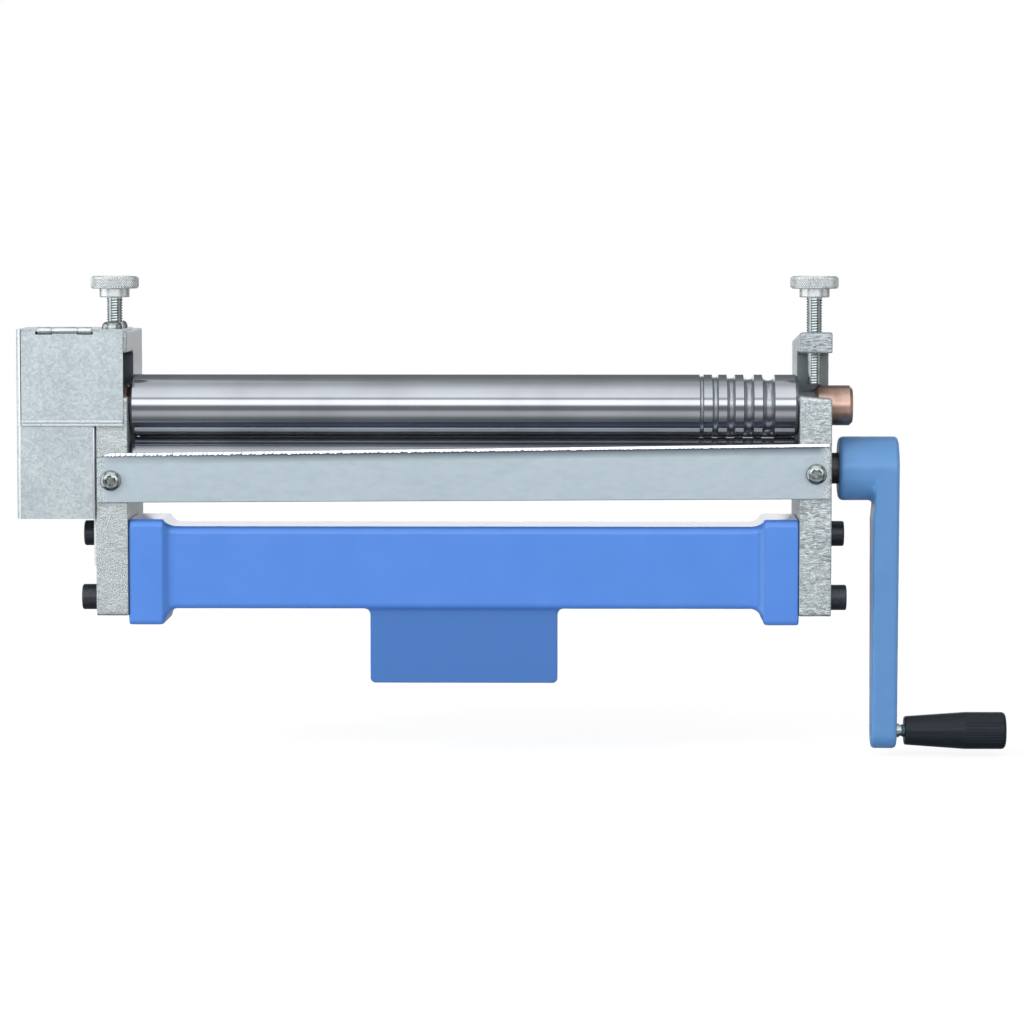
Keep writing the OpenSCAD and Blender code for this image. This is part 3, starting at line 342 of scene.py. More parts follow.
blueEnamel = castEnamel("blueEnamel", baseFinish)
crankEnamel = castEnamel("crankEnamel", crankFinish)
zincCast = zincCasting("zincCasting", plateFinish)
zincCastLeft = zincCasting("zincCastingLeft", leftPlateFinish)
galvanisedSheet = galvanisedSteel("galvanisedSheet", sheetFinish)
galvanisedBar = galvanisedSteel("galvanisedBar", stripFinish)
groundSteel = turnedMetal("groundRollSteel", rollFinish)
groovedSteel = turnedMetal("groovedRollSteel", groovedFinish)
shaftSteel = turnedMetal("crankShaftSteel", shaftFinish)
gearSteel = turnedMetal("hobbedGearSteel", gearFinish)
turnedBronze = turnedMetal("turnedBronze", bronzeFinish)
zincScrew = platedSteel("zincPlatedScrew", screwFinish)
zincHinge = platedSteel("zincPlatedHinge", hingeFinish)
foldHighlight = platedSteel("foldedEdgePaintedHighlight", foldHighlightFinish)
hemHighlight = platedSteel("zincHemPaintedHighlight", hemHighlightFinish)
filedEdge = platedSteel("freshlyFiledEdge", filedFinish)
zincKnurl = platedSteel("zincPlatedKnurl", knurlFinish)
zincThread = platedSteel("rolledZincThread", threadFinish)
blackOxide = platedSteel("blackOxideSteel", blackFinish)
blackPlastic = platedSteel("mouldedBlackPlastic", plasticFinish)

nodeFinish = {
    "base_casting": blueEnamel, "crank_arm": crankEnamel,
    "left_side_plate": zincCastLeft, "right_side_plate": zincCast,
    "left_rear_keeper": zincCast, "right_rear_keeper": zincCast,
    "guard_strip": galvanisedBar, "cover_box": galvanisedSheet,
    "cover_mounting_plate": galvanisedSheet, "cover_flap": galvanisedSheet,
    "hinge_fixed_leaf": zincHinge, "hinge_flap_leaf": zincHinge, "hinge_pin": zincHinge,
    "guard_screws": zincScrew, "cover_screws": zincScrew, "handle_spindle": zincScrew,
    "left_thumbscrew": zincKnurl, "right_thumbscrew": zincKnurl,
    "left_rear_screw": zincKnurl, "right_rear_screw": zincKnurl,
    "upper_roll": groovedSteel, "lower_roll": shaftSteel, "rear_roll": groundSteel,
    "lower_gear": gearSteel, "upper_gear": gearSteel, "lower_gear_key": gearSteel,
    "upper_gear_key": gearSteel,
    "left_upper_bush": turnedBronze, "right_upper_bush": turnedBronze,
    "left_lower_bush": turnedBronze, "right_lower_bush": turnedBronze,
    "left_rear_bush": turnedBronze, "right_rear_bush": turnedBronze,
    "base_bolts": blackOxide, "keeper_screws": blackOxide, "crank_set_screw": blackOxide,
    "lower_retaining_ring": blackOxide, "upper_retaining_ring": blackOxide,
    "handle_grip": blackPlastic,
}
for nodeName, finish in nodeFinish.items():
    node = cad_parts[nodeName]
    node.data.materials.clear()
    node.data.materials.append(finish)
print("finishes made and set on the CAD nodes")


# vertices nearer than this are one: the CAD meshes come with doubled corners
weldGap = 0.002 * mm


# working by hand: small steps that every new piece uses
def deselectAll():
    if bpy.context.mode != "OBJECT":
        bpy.ops.object.mode_set(mode="OBJECT")
    bpy.ops.object.select_all(action="DESELECT")


def pick(piece):
    deselectAll()
    piece.select_set(True)
    bpy.context.view_layer.objects.active = piece


# names the primitive that was just added and opens it in edit mode
def openNew(name):
    piece = bpy.context.active_object
    piece.name = name
    piece.data.name = name
    pick(piece)
    bpy.ops.object.mode_set(mode="EDIT")
    bpy.ops.mesh.select_all(action="DESELECT")
    return piece


# selects the faces that faces(centre, normal) accepts, or the vertices that vertices(place) does
def choose(piece, faces=None, vertices=None):
    bpy.ops.mesh.select_mode(type="FACE" if faces else "VERT")
    bpy.ops.mesh.select_all(action="DESELECT")
    mesh = bmesh.from_edit_mesh(piece.data)
    mesh.normal_update()
    if faces:
        for face in mesh.faces:
            face.select_set(faces(face.calc_center_median(), face.normal))
    else:
        for vertex in mesh.verts:
            vertex.select_set(vertices(vertex.co))
        mesh.select_flush(True)
    bmesh.update_edit_mesh(piece.data)


# extrudes the chosen faces along Z and then widens or narrows them
def grow(z, scale=None):
    bpy.ops.mesh.extrude_region_move(TRANSFORM_OT_translate={"value": (0, 0, z)})
    if scale:
        bpy.ops.transform.resize(value=scale)


# normals outward, edit mode closed, faces that meet at less than the angle shaded smooth
def closeEdit(piece, angle):
    bpy.ops.mesh.select_all(action="SELECT")
    bpy.ops.mesh.normals_make_consistent(inside=False)
    bpy.ops.object.mode_set(mode="OBJECT")
    pick(piece)
    bpy.ops.object.shade_smooth_by_angle(angle=math.radians(angle))


# puts a finished piece at its place, and the place into its mesh
def settle(piece, location=(0, 0, 0), rotation=(0, 0, 0)):
    pick(piece)
    piece.location = location
    piece.rotation_euler = rotation
    bpy.ops.object.transform_apply(location=True, rotation=True, scale=True)


def copyOf(piece, name):
    twin = piece.copy()
    twin.data = piece.data.copy()
    twin.name = name
    twin.data.name = name
    bpy.context.collection.objects.link(twin)
    return twin


# makes the others part of the first piece
def joinTo(piece, others):
    deselectAll()
    for other in others:
        other.select_set(True)
    piece.select_set(True)
    bpy.context.view_layer.objects.active = piece
    bpy.ops.object.join()
    return piece


# material, body, colour slot (not used) and the CAD nodes that the piece stands for
def finishPiece(piece, material, body, slot, *nodes):
    if not piece.data.materials:
        piece.data.materials.append(material)
    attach(piece, body)
    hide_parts(*nodes)


def applyModifier(piece, kind, **settings):
    pick(piece)
    modifier = piece.modifiers.new(kind.title(), kind)
    for name, value in settings.items():
        setattr(modifier, name, value)
    bpy.ops.object.modifier_apply(modifier=modifier.name)


# castings: the CAD form remeshed, its edges rubbed round, its skin made uneven
def castPiece(nodeName, pieceName, casting, material, body, slot):
    piece = copyOf(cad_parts[nodeName], pieceName)
    piece.parent = None
    for key in list(piece.keys()):
        del piece[key]
    pick(piece)
    bpy.ops.object.mode_set(mode="EDIT")
    bpy.ops.mesh.select_all(action="SELECT")
    bpy.ops.mesh.remove_doubles(threshold=weldGap)
    bpy.ops.object.mode_set(mode="OBJECT")
    applyModifier(piece, "REMESH", mode="VOXEL", voxel_size=casting["voxel"])
    applyModifier(piece, "SMOOTH", factor=0.5, iterations=casting["rubs"])
    # bores, slots and the edges behind the front are machined and stay smooth
    rough = piece.vertex_groups.new(name="rough")
    spots = [v.index for v in piece.data.vertices
             if "front" not in casting or abs(v.normal.x) > 0.7 or v.co.y < casting["front"]
             or v.co.z < casting["foot"]]
    rough.add(spots, 1.0, "REPLACE")
    for i, (size, depth) in enumerate(casting["skin"]):
        skin = bpy.data.textures.new(pieceName + "Skin" + str(i), "CLOUDS")
        skin.noise_scale = size
        applyModifier(piece, "DISPLACE", texture=skin, strength=depth, mid_level=0.5,
                      texture_coords="LOCAL", vertex_group="rough")
    if "lipDrop" in casting:
        # the slot's lip was ground by hand and falls towards the outside
        top, tall = casting["lipTop"], casting["lipTall"]
        for vertex in piece.data.vertices:
            x, y, z = vertex.co
            if y < casting["lipBack"] and top - tall < z < top + 1 * mm:
                across = (abs(x) - casting["innerX"]) / (casting["outerX"] - casting["innerX"])
                shift = casting["lipRise"] - casting["lipDrop"] * min(1, max(0, across))
                vertex.co.z += shift * min(1, (z - top + tall) / tall)
    if "swell" in casting:
        # the arm is thicker on its inner side than the hub would have it, below the hub
        for vertex in piece.data.vertices:
            inward = min(1, max(0, (casting["armOuter"] - vertex.co.x) / casting["armThick"]))
            below = min(1, max(0, (casting["swellTop"] - vertex.co.z) / casting["swellFade"]))
            vertex.co.x -= casting["swell"] * inward * below
    bpy.ops.object.shade_smooth()
    finishPiece(piece, material, body, slot, nodeName)
    print(pieceName, "cast,", len(piece.data.polygons), "faces")


baseCasting = {"voxel": 1.0 * mm, "rubs": 2, "skin": [(9 * mm, 0.12 * mm)]}
plateCasting = {"voxel": 0.65 * mm, "rubs": 1, "skin": [(5 * mm, 0.16 * mm), (1.3 * mm, 0.1 * mm)],
                "front": -22 * mm, "foot": 33.8 * mm}
rightCasting = dict(plateCasting, lipRise=0.6 * mm, lipDrop=1.5 * mm, lipTop=138 * mm, lipTall=3 * mm,
                    lipBack=-14 * mm, innerX=160.5 * mm, outerX=175.8 * mm)
keeperCasting = {"voxel": 0.6 * mm, "rubs": 2, "skin": [(4 * mm, 0.2 * mm)]}
crankCasting = {"voxel": 0.6 * mm, "rubs": 2, "skin": [(8 * mm, 0.12 * mm)], "swell": 0.75 * mm,
                "swellTop": 86 * mm, "swellFade": 8 * mm, "armOuter": 208.6 * mm, "armThick": 11.6 * mm}

castPiece("base_casting", "baseCasting", baseCasting, blueEnamel, "frame", "blue_enamel")
castPiece("crank_arm", "crankArm", crankCasting, crankEnamel, "crank", "blue_enamel_crank")
castPiece("left_side_plate", "leftSidePlate", plateCasting, zincCastLeft, "frame", "zinc_casting")
castPiece("right_side_plate", "rightSidePlate", rightCasting, zincCast, "frame", "zinc_casting")
castPiece("left_rear_keeper", "leftRearKeeper", keeperCasting, zincCast, "frame", "zinc_casting")
castPiece("right_rear_keeper", "rightRearKeeper", keeperCasting, zincCast, "frame", "zinc_casting")


# knurled screws: rim, collar and neck from one cylinder, a helical thread under them
screw = {"knobRadius": 11.3 * mm, "knobHeight": 6 * mm, "knobEdge": 0.55 * mm, "knurls": 56,
         "knurlRows": 5, "knurlRise": 1.034, "collarRadius": 7.3 * mm, "collarHeight": 4.2 * mm,
         "collarEdge": 0.5 * mm, "neck": 0.8 * mm, "stepInset": 2.2 * mm, "stepDepth": 0.35 * mm,
         "stepShare": 0.97, "threadRadius": 4 * mm, "pitch": 1.25 * mm, "threadDepth": 0.68 * mm,
         "threadSteps": 32, "overlap": 0.3 * mm, "tipShare": 0.8, "topLength": 42 * mm,
         "backLength": 27.5 * mm}


# tip at the origin, knob above it
def knurledScrew(name, length):
    r, h, e = screw["knobRadius"], screw["knobHeight"], screw["knobEdge"]
    bottom = length + screw["collarHeight"]
    deselectAll()
    bpy.ops.mesh.primitive_cylinder_add(vertices=2 * screw["knurls"], radius=r, depth=h - 2 * e,
                                        end_fill_type="NGON", location=(0, 0, bottom + h / 2))
    bpy.ops.object.transform_apply(location=True)
    piece = openNew(name)
    mesh = bmesh.from_edit_mesh(piece.data)
    for edge in mesh.edges:
        edge.select_set(abs(edge.verts[0].co.z - edge.verts[1].co.z) > e)
    bmesh.update_edit_mesh(piece.data)
    bpy.ops.mesh.subdivide(number_cuts=screw["knurlRows"] + 1)
    step = (h - 2 * e) / (screw["knurlRows"] + 2)

    # every second crossing of the knurl stands up as a diamond's point
    def isPoint(place):
        row = round((place.z - (bottom + e)) / step)
        column = round((math.atan2(place.y, place.x) + math.pi) / math.pi * screw["knurls"])
        inside = 0 < row < screw["knurlRows"] + 2
        return inside and (row + column) % 2 == 0
    choose(piece, vertices=isPoint)
    bpy.ops.transform.resize(value=(screw["knurlRise"], screw["knurlRise"], 1))
    # split along the grooves, so that each point becomes a small pyramid
    choose(piece, faces=lambda centre, normal: abs(normal.z) < 0.5)
    bpy.ops.mesh.quads_convert_to_tris(quad_method="SHORTEST_DIAGONAL", ngon_method="BEAUTY")
    for top in (True, False):
        sign = 1 if top else -1
        choose(piece, faces=lambda centre, normal: normal.z * sign > 0.9)
        grow(z=sign * e, scale=((r - e) / r, (r - e) / r, 1))
        if top:
            # shallow turned step in the knob's top face
            bpy.ops.mesh.inset(thickness=screw["stepInset"])
            grow(z=-screw["stepDepth"], scale=(screw["stepShare"], screw["stepShare"], 1))
            continue
        bpy.ops.mesh.inset(thickness=r - e - screw["collarRadius"])
        grow(z=-(screw["collarHeight"] - screw["collarEdge"]))
        share = 1 - screw["collarEdge"] / screw["collarRadius"]
        grow(z=-screw["collarEdge"], scale=(share, share, 1))
        neckRadius = screw["threadRadius"] - screw["threadDepth"] / 2
        bpy.ops.mesh.inset(thickness=screw["collarRadius"] * share - neckRadius)
        grow(z=-screw["neck"])
    closeEdit(piece, 20)
    piece.data.materials.append(zincKnurl)

    # one turn of thread, pulled into a helix and cut flat at both ends
    deselectAll()
    bpy.ops.mesh.primitive_plane_add(size=mm)
    thread = openNew(name + "Thread")
    outline = bmesh.from_edit_mesh(thread.data)
    outline.verts.ensure_lookup_table()
    outline.verts[0].select_set(True)
    bmesh.update_edit_mesh(thread.data)
    bpy.ops.mesh.delete(type="VERT")
    outline = bmesh.from_edit_mesh(thread.data)
    ends = [v for v in outline.verts if len(v.link_edges) == 1]
    crest = [v for v in outline.verts if len(v.link_edges) == 2][0]
    root = screw["threadRadius"] - screw["threadDepth"]
    start = -2 * screw["pitch"]
    ends[0].co = (root, 0, start)
    crest.co = (screw["threadRadius"], 0, start + screw["pitch"] / 2)
    ends[1].co = (root, 0, start + screw["pitch"])
    bmesh.update_edit_mesh(thread.data)
    bpy.ops.object.mode_set(mode="OBJECT")
    # two turns more at each end, so that both cuts meet whole thread
    turns = int((length - screw["neck"]) / screw["pitch"]) + 4
    applyModifier(thread, "SCREW", angle=2 * math.pi, screw_offset=screw["pitch"], iterations=turns,
                  steps=screw["threadSteps"], render_steps=screw["threadSteps"], axis="Z")
    bpy.ops.object.mode_set(mode="EDIT")
    bpy.ops.mesh.select_all(action="SELECT")
    bpy.ops.mesh.remove_doubles(threshold=weldGap)
    for cut, side in ((0, -1), (length - screw["neck"] + screw["overlap"], 1)):
        bpy.ops.mesh.select_all(action="SELECT")
        bpy.ops.mesh.bisect(plane_co=(0, 0, cut), plane_no=(0, 0, side), use_fill=True,
                            clear_outer=True)
    # the cut end is turned down to a short point
    choose(thread, vertices=lambda place: place.z < 0.01 * mm)
    bpy.ops.transform.resize(value=(screw["tipShare"], screw["tipShare"], 1))
    closeEdit(thread, 40)
    thread.data.materials.append(zincThread)
    return joinTo(piece, [thread])


# where the screws stand: above the upper bushes, and behind the rear ones on a slope
platesMiddle = 168.15 * mm
upperAxis = Vector((0, -4 * mm, 133.3 * mm))
rearAxis = Vector((0, 31 * mm, 112 * mm))
bushRadius = 9.65 * mm
tipGap = 0.2 * mm
rearTilt = math.radians(25)

upperScrew = knurledScrew("leftThumbscrew", screw["topLength"])
rearScrew = knurledScrew("leftRearScrew", screw["backLength"])
upperTwin = copyOf(upperScrew, "rightThumbscrew")
rearTwin = copyOf(rearScrew, "rightRearScrew")
for side, top, back, word in ((-1, upperScrew, rearScrew, "left"), (1, upperTwin, rearTwin, "right")):
    across = Vector((side * platesMiddle, 0, 0))
    settle(top, upperAxis + across + Vector((0, 0, bushRadius + tipGap)))
    finishPiece(top, zincKnurl, word + "_top_screw", "zinc_knurled", word + "_thumbscrew")
    along = Vector((0, math.cos(rearTilt), -math.sin(rearTilt)))
    settle(back, rearAxis + across + along * (bushRadius + tipGap),
           (-(math.pi / 2 + rearTilt), 0, 0))
    finishPiece(back, zincKnurl, word + "_back_screw", "zinc_knurled", word + "_rear_screw")
print("knurled screws turned and threaded")


# pan head screws with a pressed cross recess
panHead = {"radius": 5 * mm, "rim": 1.3 * mm, "height": 3.6 * mm, "shank": 2.5 * mm,
           "crown": 0.42, "rings": 7, "point": 0.6 * mm, "pointShare": 0.76,
           "crossLength": 7.2 * mm, "crossWidth": 2.4 * mm, "crossDepth": 2.4 * mm, "crossTurn": 12,
           "crossTip": (0.45, 0.7, 1), "guardLength": 12 * mm, "guardTurn": 33,
           "coverLength": 8 * mm, "coverTurn": 20}


# head's underside at the origin, shank below it
def panScrew(name, length):
    r, crown, rings = panHead["radius"], panHead["crown"], panHead["rings"]
    deselectAll()
    bpy.ops.mesh.primitive_cylinder_add(vertices=64, radius=r, depth=panHead["rim"],
                                        end_fill_type="NGON", location=(0, 0, panHead["rim"] / 2))
    bpy.ops.object.transform_apply(location=True)
    piece = openNew(name)
    choose(piece, faces=lambda centre, normal: normal.z > 0.9)
    rise = panHead["height"] - panHead["rim"]
    for i in range(rings):
        a, b = math.radians(90 * i / rings), math.radians(90 * (i + 1) / rings)
        # the dome flattens towards its middle as a rolled head does
        before, after = (crown + (1 - crown) * math.cos(end) for end in (a, b))
        grow(z=rise * (math.sin(b) - math.sin(a)), scale=(after / before, after / before, 1))
    choose(piece, faces=lambda centre, normal: normal.z < -0.9)
    bpy.ops.mesh.inset(thickness=r - panHead["shank"])
    grow(z=-(length - panHead["point"]))
    grow(z=-panHead["point"], scale=(panHead["pointShare"], panHead["pointShare"], 1))
    closeEdit(piece, 35)
    for turn in (0, 1):
        deselectAll()
        bpy.ops.mesh.primitive_cube_add(size=1, location=(0, 0, panHead["height"]))
        arm = openNew("crossPunch")
        bpy.ops.mesh.select_all(action="SELECT")
        long, wide = panHead["crossLength"], panHead["crossWidth"]
        bpy.ops.transform.resize(value=(long, wide, 2 * panHead["crossDepth"]))
        # the punch narrows towards its tip
        choose(arm, faces=lambda centre, normal: normal.z < -0.9)
        bpy.ops.transform.resize(value=panHead["crossTip"])
        bpy.ops.object.mode_set(mode="OBJECT")
        arm.rotation_euler = (0, 0, math.radians(panHead["crossTurn"] + 90 * turn))
        pick(arm)
        bpy.ops.object.transform_apply(location=True, rotation=True)
        applyModifier(piece, "BOOLEAN", object=arm, operation="DIFFERENCE", solver="EXACT")
        bpy.data.objects.remove(arm)
    pick(piece)
    bpy.ops.object.shade_smooth_by_angle(angle=math.radians(35))
    return piece


guardSpots = [(-platesMiddle, -26 * mm, 98.19 * mm), (platesMiddle, -26 * mm, 101.51 * mm)]
guardFirst = panScrew("guardScrews", panHead["guardLength"])
guardSecond = copyOf(guardFirst, "guardSecond")
settle(guardSecond, rotation=(0, 0, math.radians(panHead["guardTurn"])))
for piece, spot in zip((guardFirst, guardSecond), guardSpots):
    settle(piece, spot, (math.pi / 2, 0, 0))
finishPiece(joinTo(guardFirst, [guardSecond]), zincScrew, "frame", "zinc_screws", "guard_screws")

coverTop = 170.2 * mm
coverSpots = [(-platesMiddle, -15.002 * mm, coverTop), (-platesMiddle, 7.014 * mm, coverTop)]
coverFirst = panScrew("coverScrews", panHead["coverLength"])
coverSecond = copyOf(coverFirst, "coverSecond")
for piece, spot in zip((coverFirst, coverSecond), coverSpots):
    settle(piece, spot, (0, 0, math.radians(panHead["coverTurn"])))
finishPiece(joinTo(coverFirst, [coverSecond]), zincScrew, "frame", "zinc_screws", "cover_screws")
print("pan head screws pressed")


# guard strip: a sawn bar whose filed top bevel has a ragged lower line
strip = {"left": -174.7 * mm, "right": 174.4 * mm, "front": -26 * mm, "thickness": 3 * mm,
         "bottomLeft": 87.5 * mm, "bottomRight": 89.5 * mm, "topLeft": 111 * mm,
         "topRight": 115.9 * mm, "bevel": 1.25 * mm, "bevelDepth": 0.7 * mm, "ragged": 0.75 * mm,
         "tooth": 2.2 * mm, "waver": 1.2 * mm, "waverSize": 7 * mm, "straySize": 3 * mm,
         "biteLeast": 0.25, "calm": 0.6, "calmReach": 0.15, "filed": 0.85, "fade": 1.5,
         "cornerReach": 6.2 * mm, "cornerDrop": 1.6 * mm, "burr": 0.35 * mm, "lip": 0.5 * mm,
         "undercut": 0.6 * mm, "rows": 4, "columns": 900}


# what lies between a left and a right value of the strip, at a share of its length
def slopeAt(share, left, right):
    return strip[left] + share * (strip[right] - strip[left])


deselectAll()
rows = strip["rows"]
bpy.ops.mesh.primitive_grid_add(x_subdivisions=strip["columns"], y_subdivisions=rows, size=1)
guard = openNew("guardStrip")
outline = bmesh.from_edit_mesh(guard.data)
for vertex in outline.verts:
    share = vertex.co.x + 0.5
    row = round((vertex.co.y + 0.5) * rows)
    x = slopeAt(share, "left", "right")
    y = strip["front"]
    low = slopeAt(share, "bottomLeft", "bottomRight")
    high = slopeAt(share, "topLeft", "topRight")
    # the file ran off the upper left corner and took it down
    off = max(0, 1 - share * (strip["right"] - strip["left"]) / strip["cornerReach"])
    high -= strip["cornerDrop"] * off
    bevel = strip["bevel"] * (1 - off) ** strip["fade"]
    # file strokes bite deeper towards the left end, and there they are most regular
    least = strip["biteLeast"]
    bite = strip["ragged"] * (least + (1 - least) * (1 - share) ** strip["fade"]) * (1 - off)
    waver = strip["waver"] * noise.noise((x / strip["waverSize"], 0, 3))
    stroke = (x + waver) / strip["tooth"] % 1
    stray = 1 - strip["calm"] * max(0, 1 - share / strip["calmReach"])
    line = high - bevel + bite * (stroke - 0.5 + stray * noise.noise((x / strip["straySize"], 5, 0)))
    if row == rows:
        y, z = y - strip["lip"] + strip["bevelDepth"] * (1 - off), high
    elif row == rows - 1:
        y, z = y - strip["lip"], line
    elif row == 0:
        y, z = y + strip["burr"], low
    elif row == 1:
        z = low + strip["burr"]
    else:
        z = line - strip["undercut"]
    vertex.co = (x, y, z)
bmesh.update_edit_mesh(guard.data)
bpy.ops.mesh.select_all(action="SELECT")
bpy.ops.mesh.extrude_region_move(TRANSFORM_OT_translate={"value": (0, strip["thickness"], 0)})
# the back is flat against the plates
back = strip["front"] + strip["thickness"]
choose(guard, vertices=lambda place: place.y > back - 0.05 * mm)
backMesh = bmesh.from_edit_mesh(guard.data)
for vertex in backMesh.verts:
    if vertex.select:
        vertex.co.y = back
bmesh.update_edit_mesh(guard.data)
closeEdit(guard, 20)
finishPiece(guard, galvanisedBar, "frame", "galvanised_strip", "guard_strip")
guard.data.materials.append(filedEdge)
for face in guard.data.polygons:
    share = (face.center.x - strip["left"]) / (strip["right"] - strip["left"])
    high = slopeAt(share, "topLeft", "topRight")
    if face.normal.y < -0.3 and face.center.z > high - strip["bevel"] * strip["filed"]:
        face.material_index = 1
print("guard strip filed")


# folded edges: the hem along the flap, folded flat on itself and a little proud, and the
# cover's side return over the mounting plate's edge; each is a bar with a rounded front
hem = {"left": -210.9 * mm, "right": -162.3 * mm, "front": -25.1 * mm, "proud": 0.5 * mm,
       "sunk": 0.3 * mm, "round": 0.34 * mm, "fold": (125.4 * mm, 126.9 * mm),
       "cutEdge": (123.9 * mm, 125.1 * mm)}
sideReturn = {"low": (-177.0 * mm, -24.5 * mm, 79.7 * mm),
              "high": (-176.1 * mm, -23.2 * mm, 123.6 * mm), "round": 0.25 * mm}


# a bar between two corners with its front edges rounded
def bendEdge(name, low, high, radius):
    deselectAll()
    bpy.ops.mesh.primitive_cube_add(size=1)
    bead = openNew(name)
    bpy.ops.mesh.select_all(action="SELECT")
    bpy.ops.transform.resize(value=Vector(high) - Vector(low))
    mesh = bmesh.from_edit_mesh(bead.data)
    for edge in mesh.edges:
        ends = [vertex.co for vertex in edge.verts]
        edge.select_set(max(end.y for end in ends) < 0)
    bmesh.update_edit_mesh(bead.data)
    bpy.ops.mesh.bevel(offset=radius, segments=4)
    closeEdit(bead, 50)
    settle(bead, (Vector(low) + Vector(high)) / 2)
    return bead


hemBeads = [bendEdge(name, (hem["left"], hem["front"] - hem["proud"], hem[name][0]),
                     (hem["right"], hem["front"] + hem["sunk"], hem[name][1]), hem["round"])
            for name in ("fold", "cutEdge")]
flapHem = joinTo(hemBeads[0], hemBeads[1:])
flapHem.name = "flapHem"
finishPiece(flapHem, hemHighlight, "flap", "galvanised_sheet")
coverReturn = bendEdge("coverReturn", sideReturn["low"], sideReturn["high"], sideReturn["round"])
finishPiece(coverReturn, hemHighlight, "frame", "galvanised_sheet")
print("flap hem folded")


# sheet and small CAD nodes keep their form and get broken edges, in millimetres
edgeWidths = {"cover_box": 0.5, "cover_flap": 0.4, "cover_mounting_plate": 0.15,
              "hinge_fixed_leaf": 0.12, "hinge_flap_leaf": 0.12}
# cut edges that face the front: the cover's outer wall, the whole of the mounting plate
cutEdges = {"cover_box": -211.4 * mm, "cover_mounting_plate": 0}
for nodeName, width in edgeWidths.items():
    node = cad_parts[nodeName]
    for face in node.data.polygons:
        if nodeName in cutEdges and face.normal.y < -0.9 and face.center.x < cutEdges[nodeName]:
            face.material_index = 1
    # painted highlight: the bevels where the sheet ends or folds, and the cut edges that face the front,
    # are painted near white
    node.data.materials.append(foldHighlight)
    weld = node.modifiers.new("Weld", "WELD")
    weld.merge_threshold = weldGap
    bevel = node.modifiers.new("Bevel", "BEVEL")
    bevel.width = width * mm
    bevel.segments = 2
    bevel.material = 1
    bevel.limit_method = "ANGLE"
    bevel.angle_limit = math.radians(40)
print("sheet edges broken")


# stage, lights and camera
stageSpec = {"floorHeight": -36 * mm, "floorSize": 7.0, "paper": 0.84, "shade": 0.25, "bounce": 0.9,
             "middle": (0, 0, 0.1), "domeRadius": 3.2, "domeLight": 3.6, "worldLight": 0.62}


# 1 for what is seen straight, in a mirror or through glass, and 0 for light that is gathered
def seenRays(tree):
    path = addNode(tree, "LightPath").outputs
    seen = calc(tree, "MAXIMUM", path["Is Camera Ray"], path["Is Glossy Ray"])
    return calc(tree, "MAXIMUM", seen, path["Is Transmission Ray"])


deselectAll()
bpy.ops.mesh.primitive_plane_add(size=stageSpec["floorSize"], location=(0, 0, stageSpec["floorHeight"]))
floor = bpy.context.active_object
floor.name = "studioFloor"
paper = bpy.data.materials.new("whitePaperFloor")
tree = emptyTree(paper)
matte = addNode(tree, "BsdfDiffuse", {"Color": grey(stageSpec["bounce"])})
# the camera sees paper that is nearly white by itself, and the soft shadow on top of it
white = addNode(tree, "Emission", {"Color": grey(stageSpec["paper"]), "Strength": 1.0})
faint = addNode(tree, "BsdfDiffuse", {"Color": grey(stageSpec["shade"])})
shown = addNode(tree, "AddShader", {0: white.outputs[0], 1: faint.outputs[0]})
both = addNode(tree, "MixShader", {0: seenRays(tree), 1: matte.outputs[0], 2: shown.outputs[0]})
addNode(tree, "OutputMaterial", {"Surface": both.outputs[0]})
floor.data.materials.append(paper)
floor.visible_glossy = False

# a studio tent that only reflections see: bright strips in front, darker overhead and behind
deselectAll()
bpy.ops.mesh.primitive_uv_sphere_add(segments=64, ring_count=32, radius=stageSpec["domeRadius"],
                                     location=stageSpec["middle"])
tent = bpy.context.active_object
tent.name = "studioTent"
bpy.ops.object.shade_smooth()
# degrees above the horizon, and brightness there as a share of the light's strength
frontBands = [(-90, 0.06), (-58, 0.06), (-50, 0.07), (-44, 0.12), (-39, 0.2), (-34, 0.3), (-22, 0.31),
              (-17, 0.15), (-13, 0.09), (-3, 0.1), (-1, 0.15), (3, 0.46), (6, 0.95), (19, 0.95),
              (22, 0.72), (24, 0.26), (28, 0.3), (34, 0.66), (50, 0.57), (57, 0.5), (70, 0.34),
              (90, 0.18)]
backBands = [(-90, 0.04), (-40, 0.05), (-12, 0.07), (-6, 0.13), (-3, 0.24), (0, 0.32), (2.5, 0.5),
             (14, 0.5), (24, 0.06), (40, 0.068), (60, 0.085), (90, 0.18)]
# degrees round from the front, towards +X: panels beside the camera, dark corners behind them
roundBands = [(-180, 0.12), (-60, 0.2), (-46, 0.35), (-32, 1.2), (-20, 1.1), (-10, 1.0), (10, 1.0),
              (22, 1.15), (34, 1.15), (44, 0.3), (60, 0.15), (180, 0.12)]
# upright panels to the left and, weaker, to the right, by the same angle
sideBands = [(-180, 0), (-118, 0), (-108, 0.5), (-62, 0.5), (-52, 0), (62, 0), (72, 0.2), (98, 0.2),
             (108, 0), (180, 0)]
# degrees of height over which the panels fade, and radians round where the back begins
tentFade = {"panelFrom": 50, "panelTo": 68, "flankFrom": 28, "flankTo": 42, "backFrom": 2.5,
            "backTo": 2.8}
# colour ramps stop at 1, so the panels are drawn as shares of this
panelPeak = 1.25


# daylight lamps: a little more blue than red
def daylight(value):
    return [value * 0.985, value * 0.99, value, 1]


def bandRamp(tree, share, bands, circle, tint):
    return colourRamp(tree, share, *[(0.5 + angle / circle, tint(value)) for angle, value in bands])


# 1 up to the first height above or below the horizon, 0 from the second
def fadeUp(tree, height, low, high):
    return ranged(tree, height, math.radians(low), math.radians(high), 1.0, 0.0)


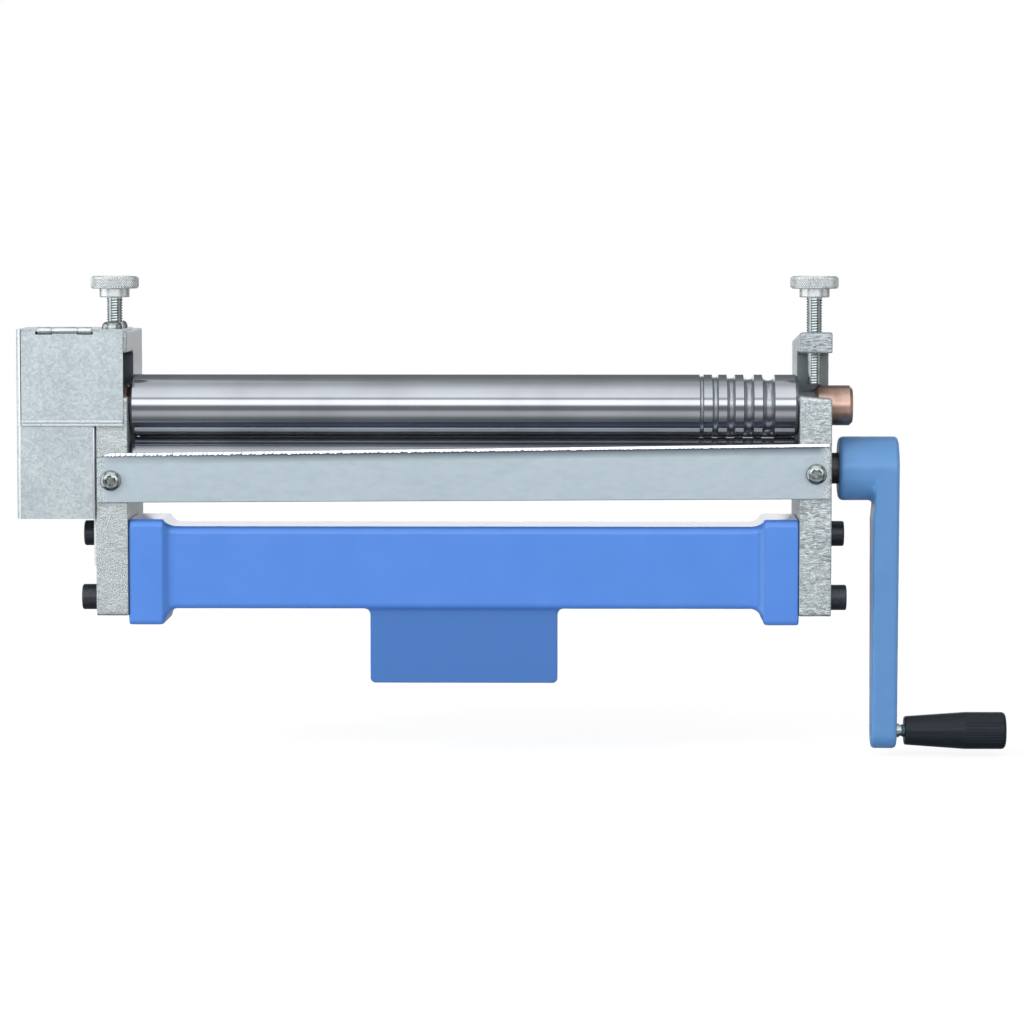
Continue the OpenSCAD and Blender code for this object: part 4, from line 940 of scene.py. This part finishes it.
cloth = bpy.data.materials.new("tentCloth")
tree = emptyTree(cloth)
towards = addNode(tree, "VectorMath", {0: objectPlace(tree)}, operation="NORMALIZE")
parts = axes(tree, towards.outputs[0])
height = calc(tree, "ARCSINE", parts["Z"])
share = calc(tree, "MULTIPLY_ADD", height, 1 / math.pi, 0.5)
front = bandRamp(tree, share, frontBands, 180, daylight)
back = bandRamp(tree, share, backBands, 180, daylight)
turn = calc(tree, "ARCTAN2", parts["X"], calc(tree, "MULTIPLY", parts["Y"], -1.0))
aroundShare = calc(tree, "MULTIPLY_ADD", turn, 0.5 / math.pi, 0.5)
panels = bandRamp(tree, aroundShare, roundBands, 360, lambda value: grey(value / panelPeak))
# overhead the angle round means nothing, so the panels fade out there
low = fadeUp(tree, height, tentFade["panelFrom"], tentFade["panelTo"])
lit = mixColour(tree, low, front, panels, "MULTIPLY")
behind = ranged(tree, calc(tree, "ABSOLUTE", turn), tentFade["backFrom"], tentFade["backTo"])
mixed = mixColour(tree, behind, lit, back)
flanks = bandRamp(tree, aroundShare, sideBands, 360, grey)
tall = fadeUp(tree, calc(tree, "ABSOLUTE", height), tentFade["flankFrom"], tentFade["flankTo"])
both = mixColour(tree, tall, mixed, flanks, "LIGHTEN")
glow = addNode(tree, "Emission", {"Color": both, "Strength": stageSpec["domeLight"]})
addNode(tree, "OutputMaterial", {"Surface": glow.outputs[0]})
tent.data.materials.append(cloth)
tent.visible_camera = False
tent.visible_diffuse = False
tent.visible_transmission = False
tent.visible_shadow = False

world = bpy.data.worlds.new("studioWorld")
bpy.context.scene.world = world
tree = emptyTree(world)
level = ranged(tree, seenRays(tree), 0.0, 1.0, stageSpec["worldLight"], 1.0)
sky = addNode(tree, "Background", {"Color": grey(1.0), "Strength": level})
addNode(tree, "OutputWorld", {"Surface": sky.outputs[0]})

# name, place, size and power
lamps = [("keyLight", (-2.0, -1.5, 1.3), 1.2, 34.0), ("fillLight", (1.4, -1.8, 0.8), 1.4, 9.0)]
for name, spot, size, power in lamps:
    lamp = bpy.data.lights.new(name, "AREA")
    lamp.shape = "SQUARE"
    lamp.size = size
    lamp.energy = power
    light = bpy.data.objects.new(name, lamp)
    bpy.context.collection.objects.link(light)
    light.location = spot
    aim = Vector(stageSpec["middle"]) - Vector(spot)
    light.rotation_euler = aim.to_track_quat("-Z", "Y").to_euler()
    light.visible_glossy = False

# degrees down and round, and a lens for a 36 mm sensor
view = {"place": (49.08 * mm, -1933.0 * mm, 223.55 * mm), "pitch": 4.206, "turn": 0.775,
        "lens": 140.99, "sensor": 36.0}
eye = bpy.data.cameras.new("photoCamera")
eye.lens = view["lens"]
eye.sensor_width = view["sensor"]
camera = bpy.data.objects.new("photoCamera", eye)
bpy.context.collection.objects.link(camera)
camera.location = view["place"]
camera.rotation_euler = (math.radians(90 - view["pitch"]), 0, math.radians(view["turn"]))
bpy.context.scene.camera = camera
bpy.context.scene.view_settings.view_transform = "Standard"
print("stage, lights and camera set")
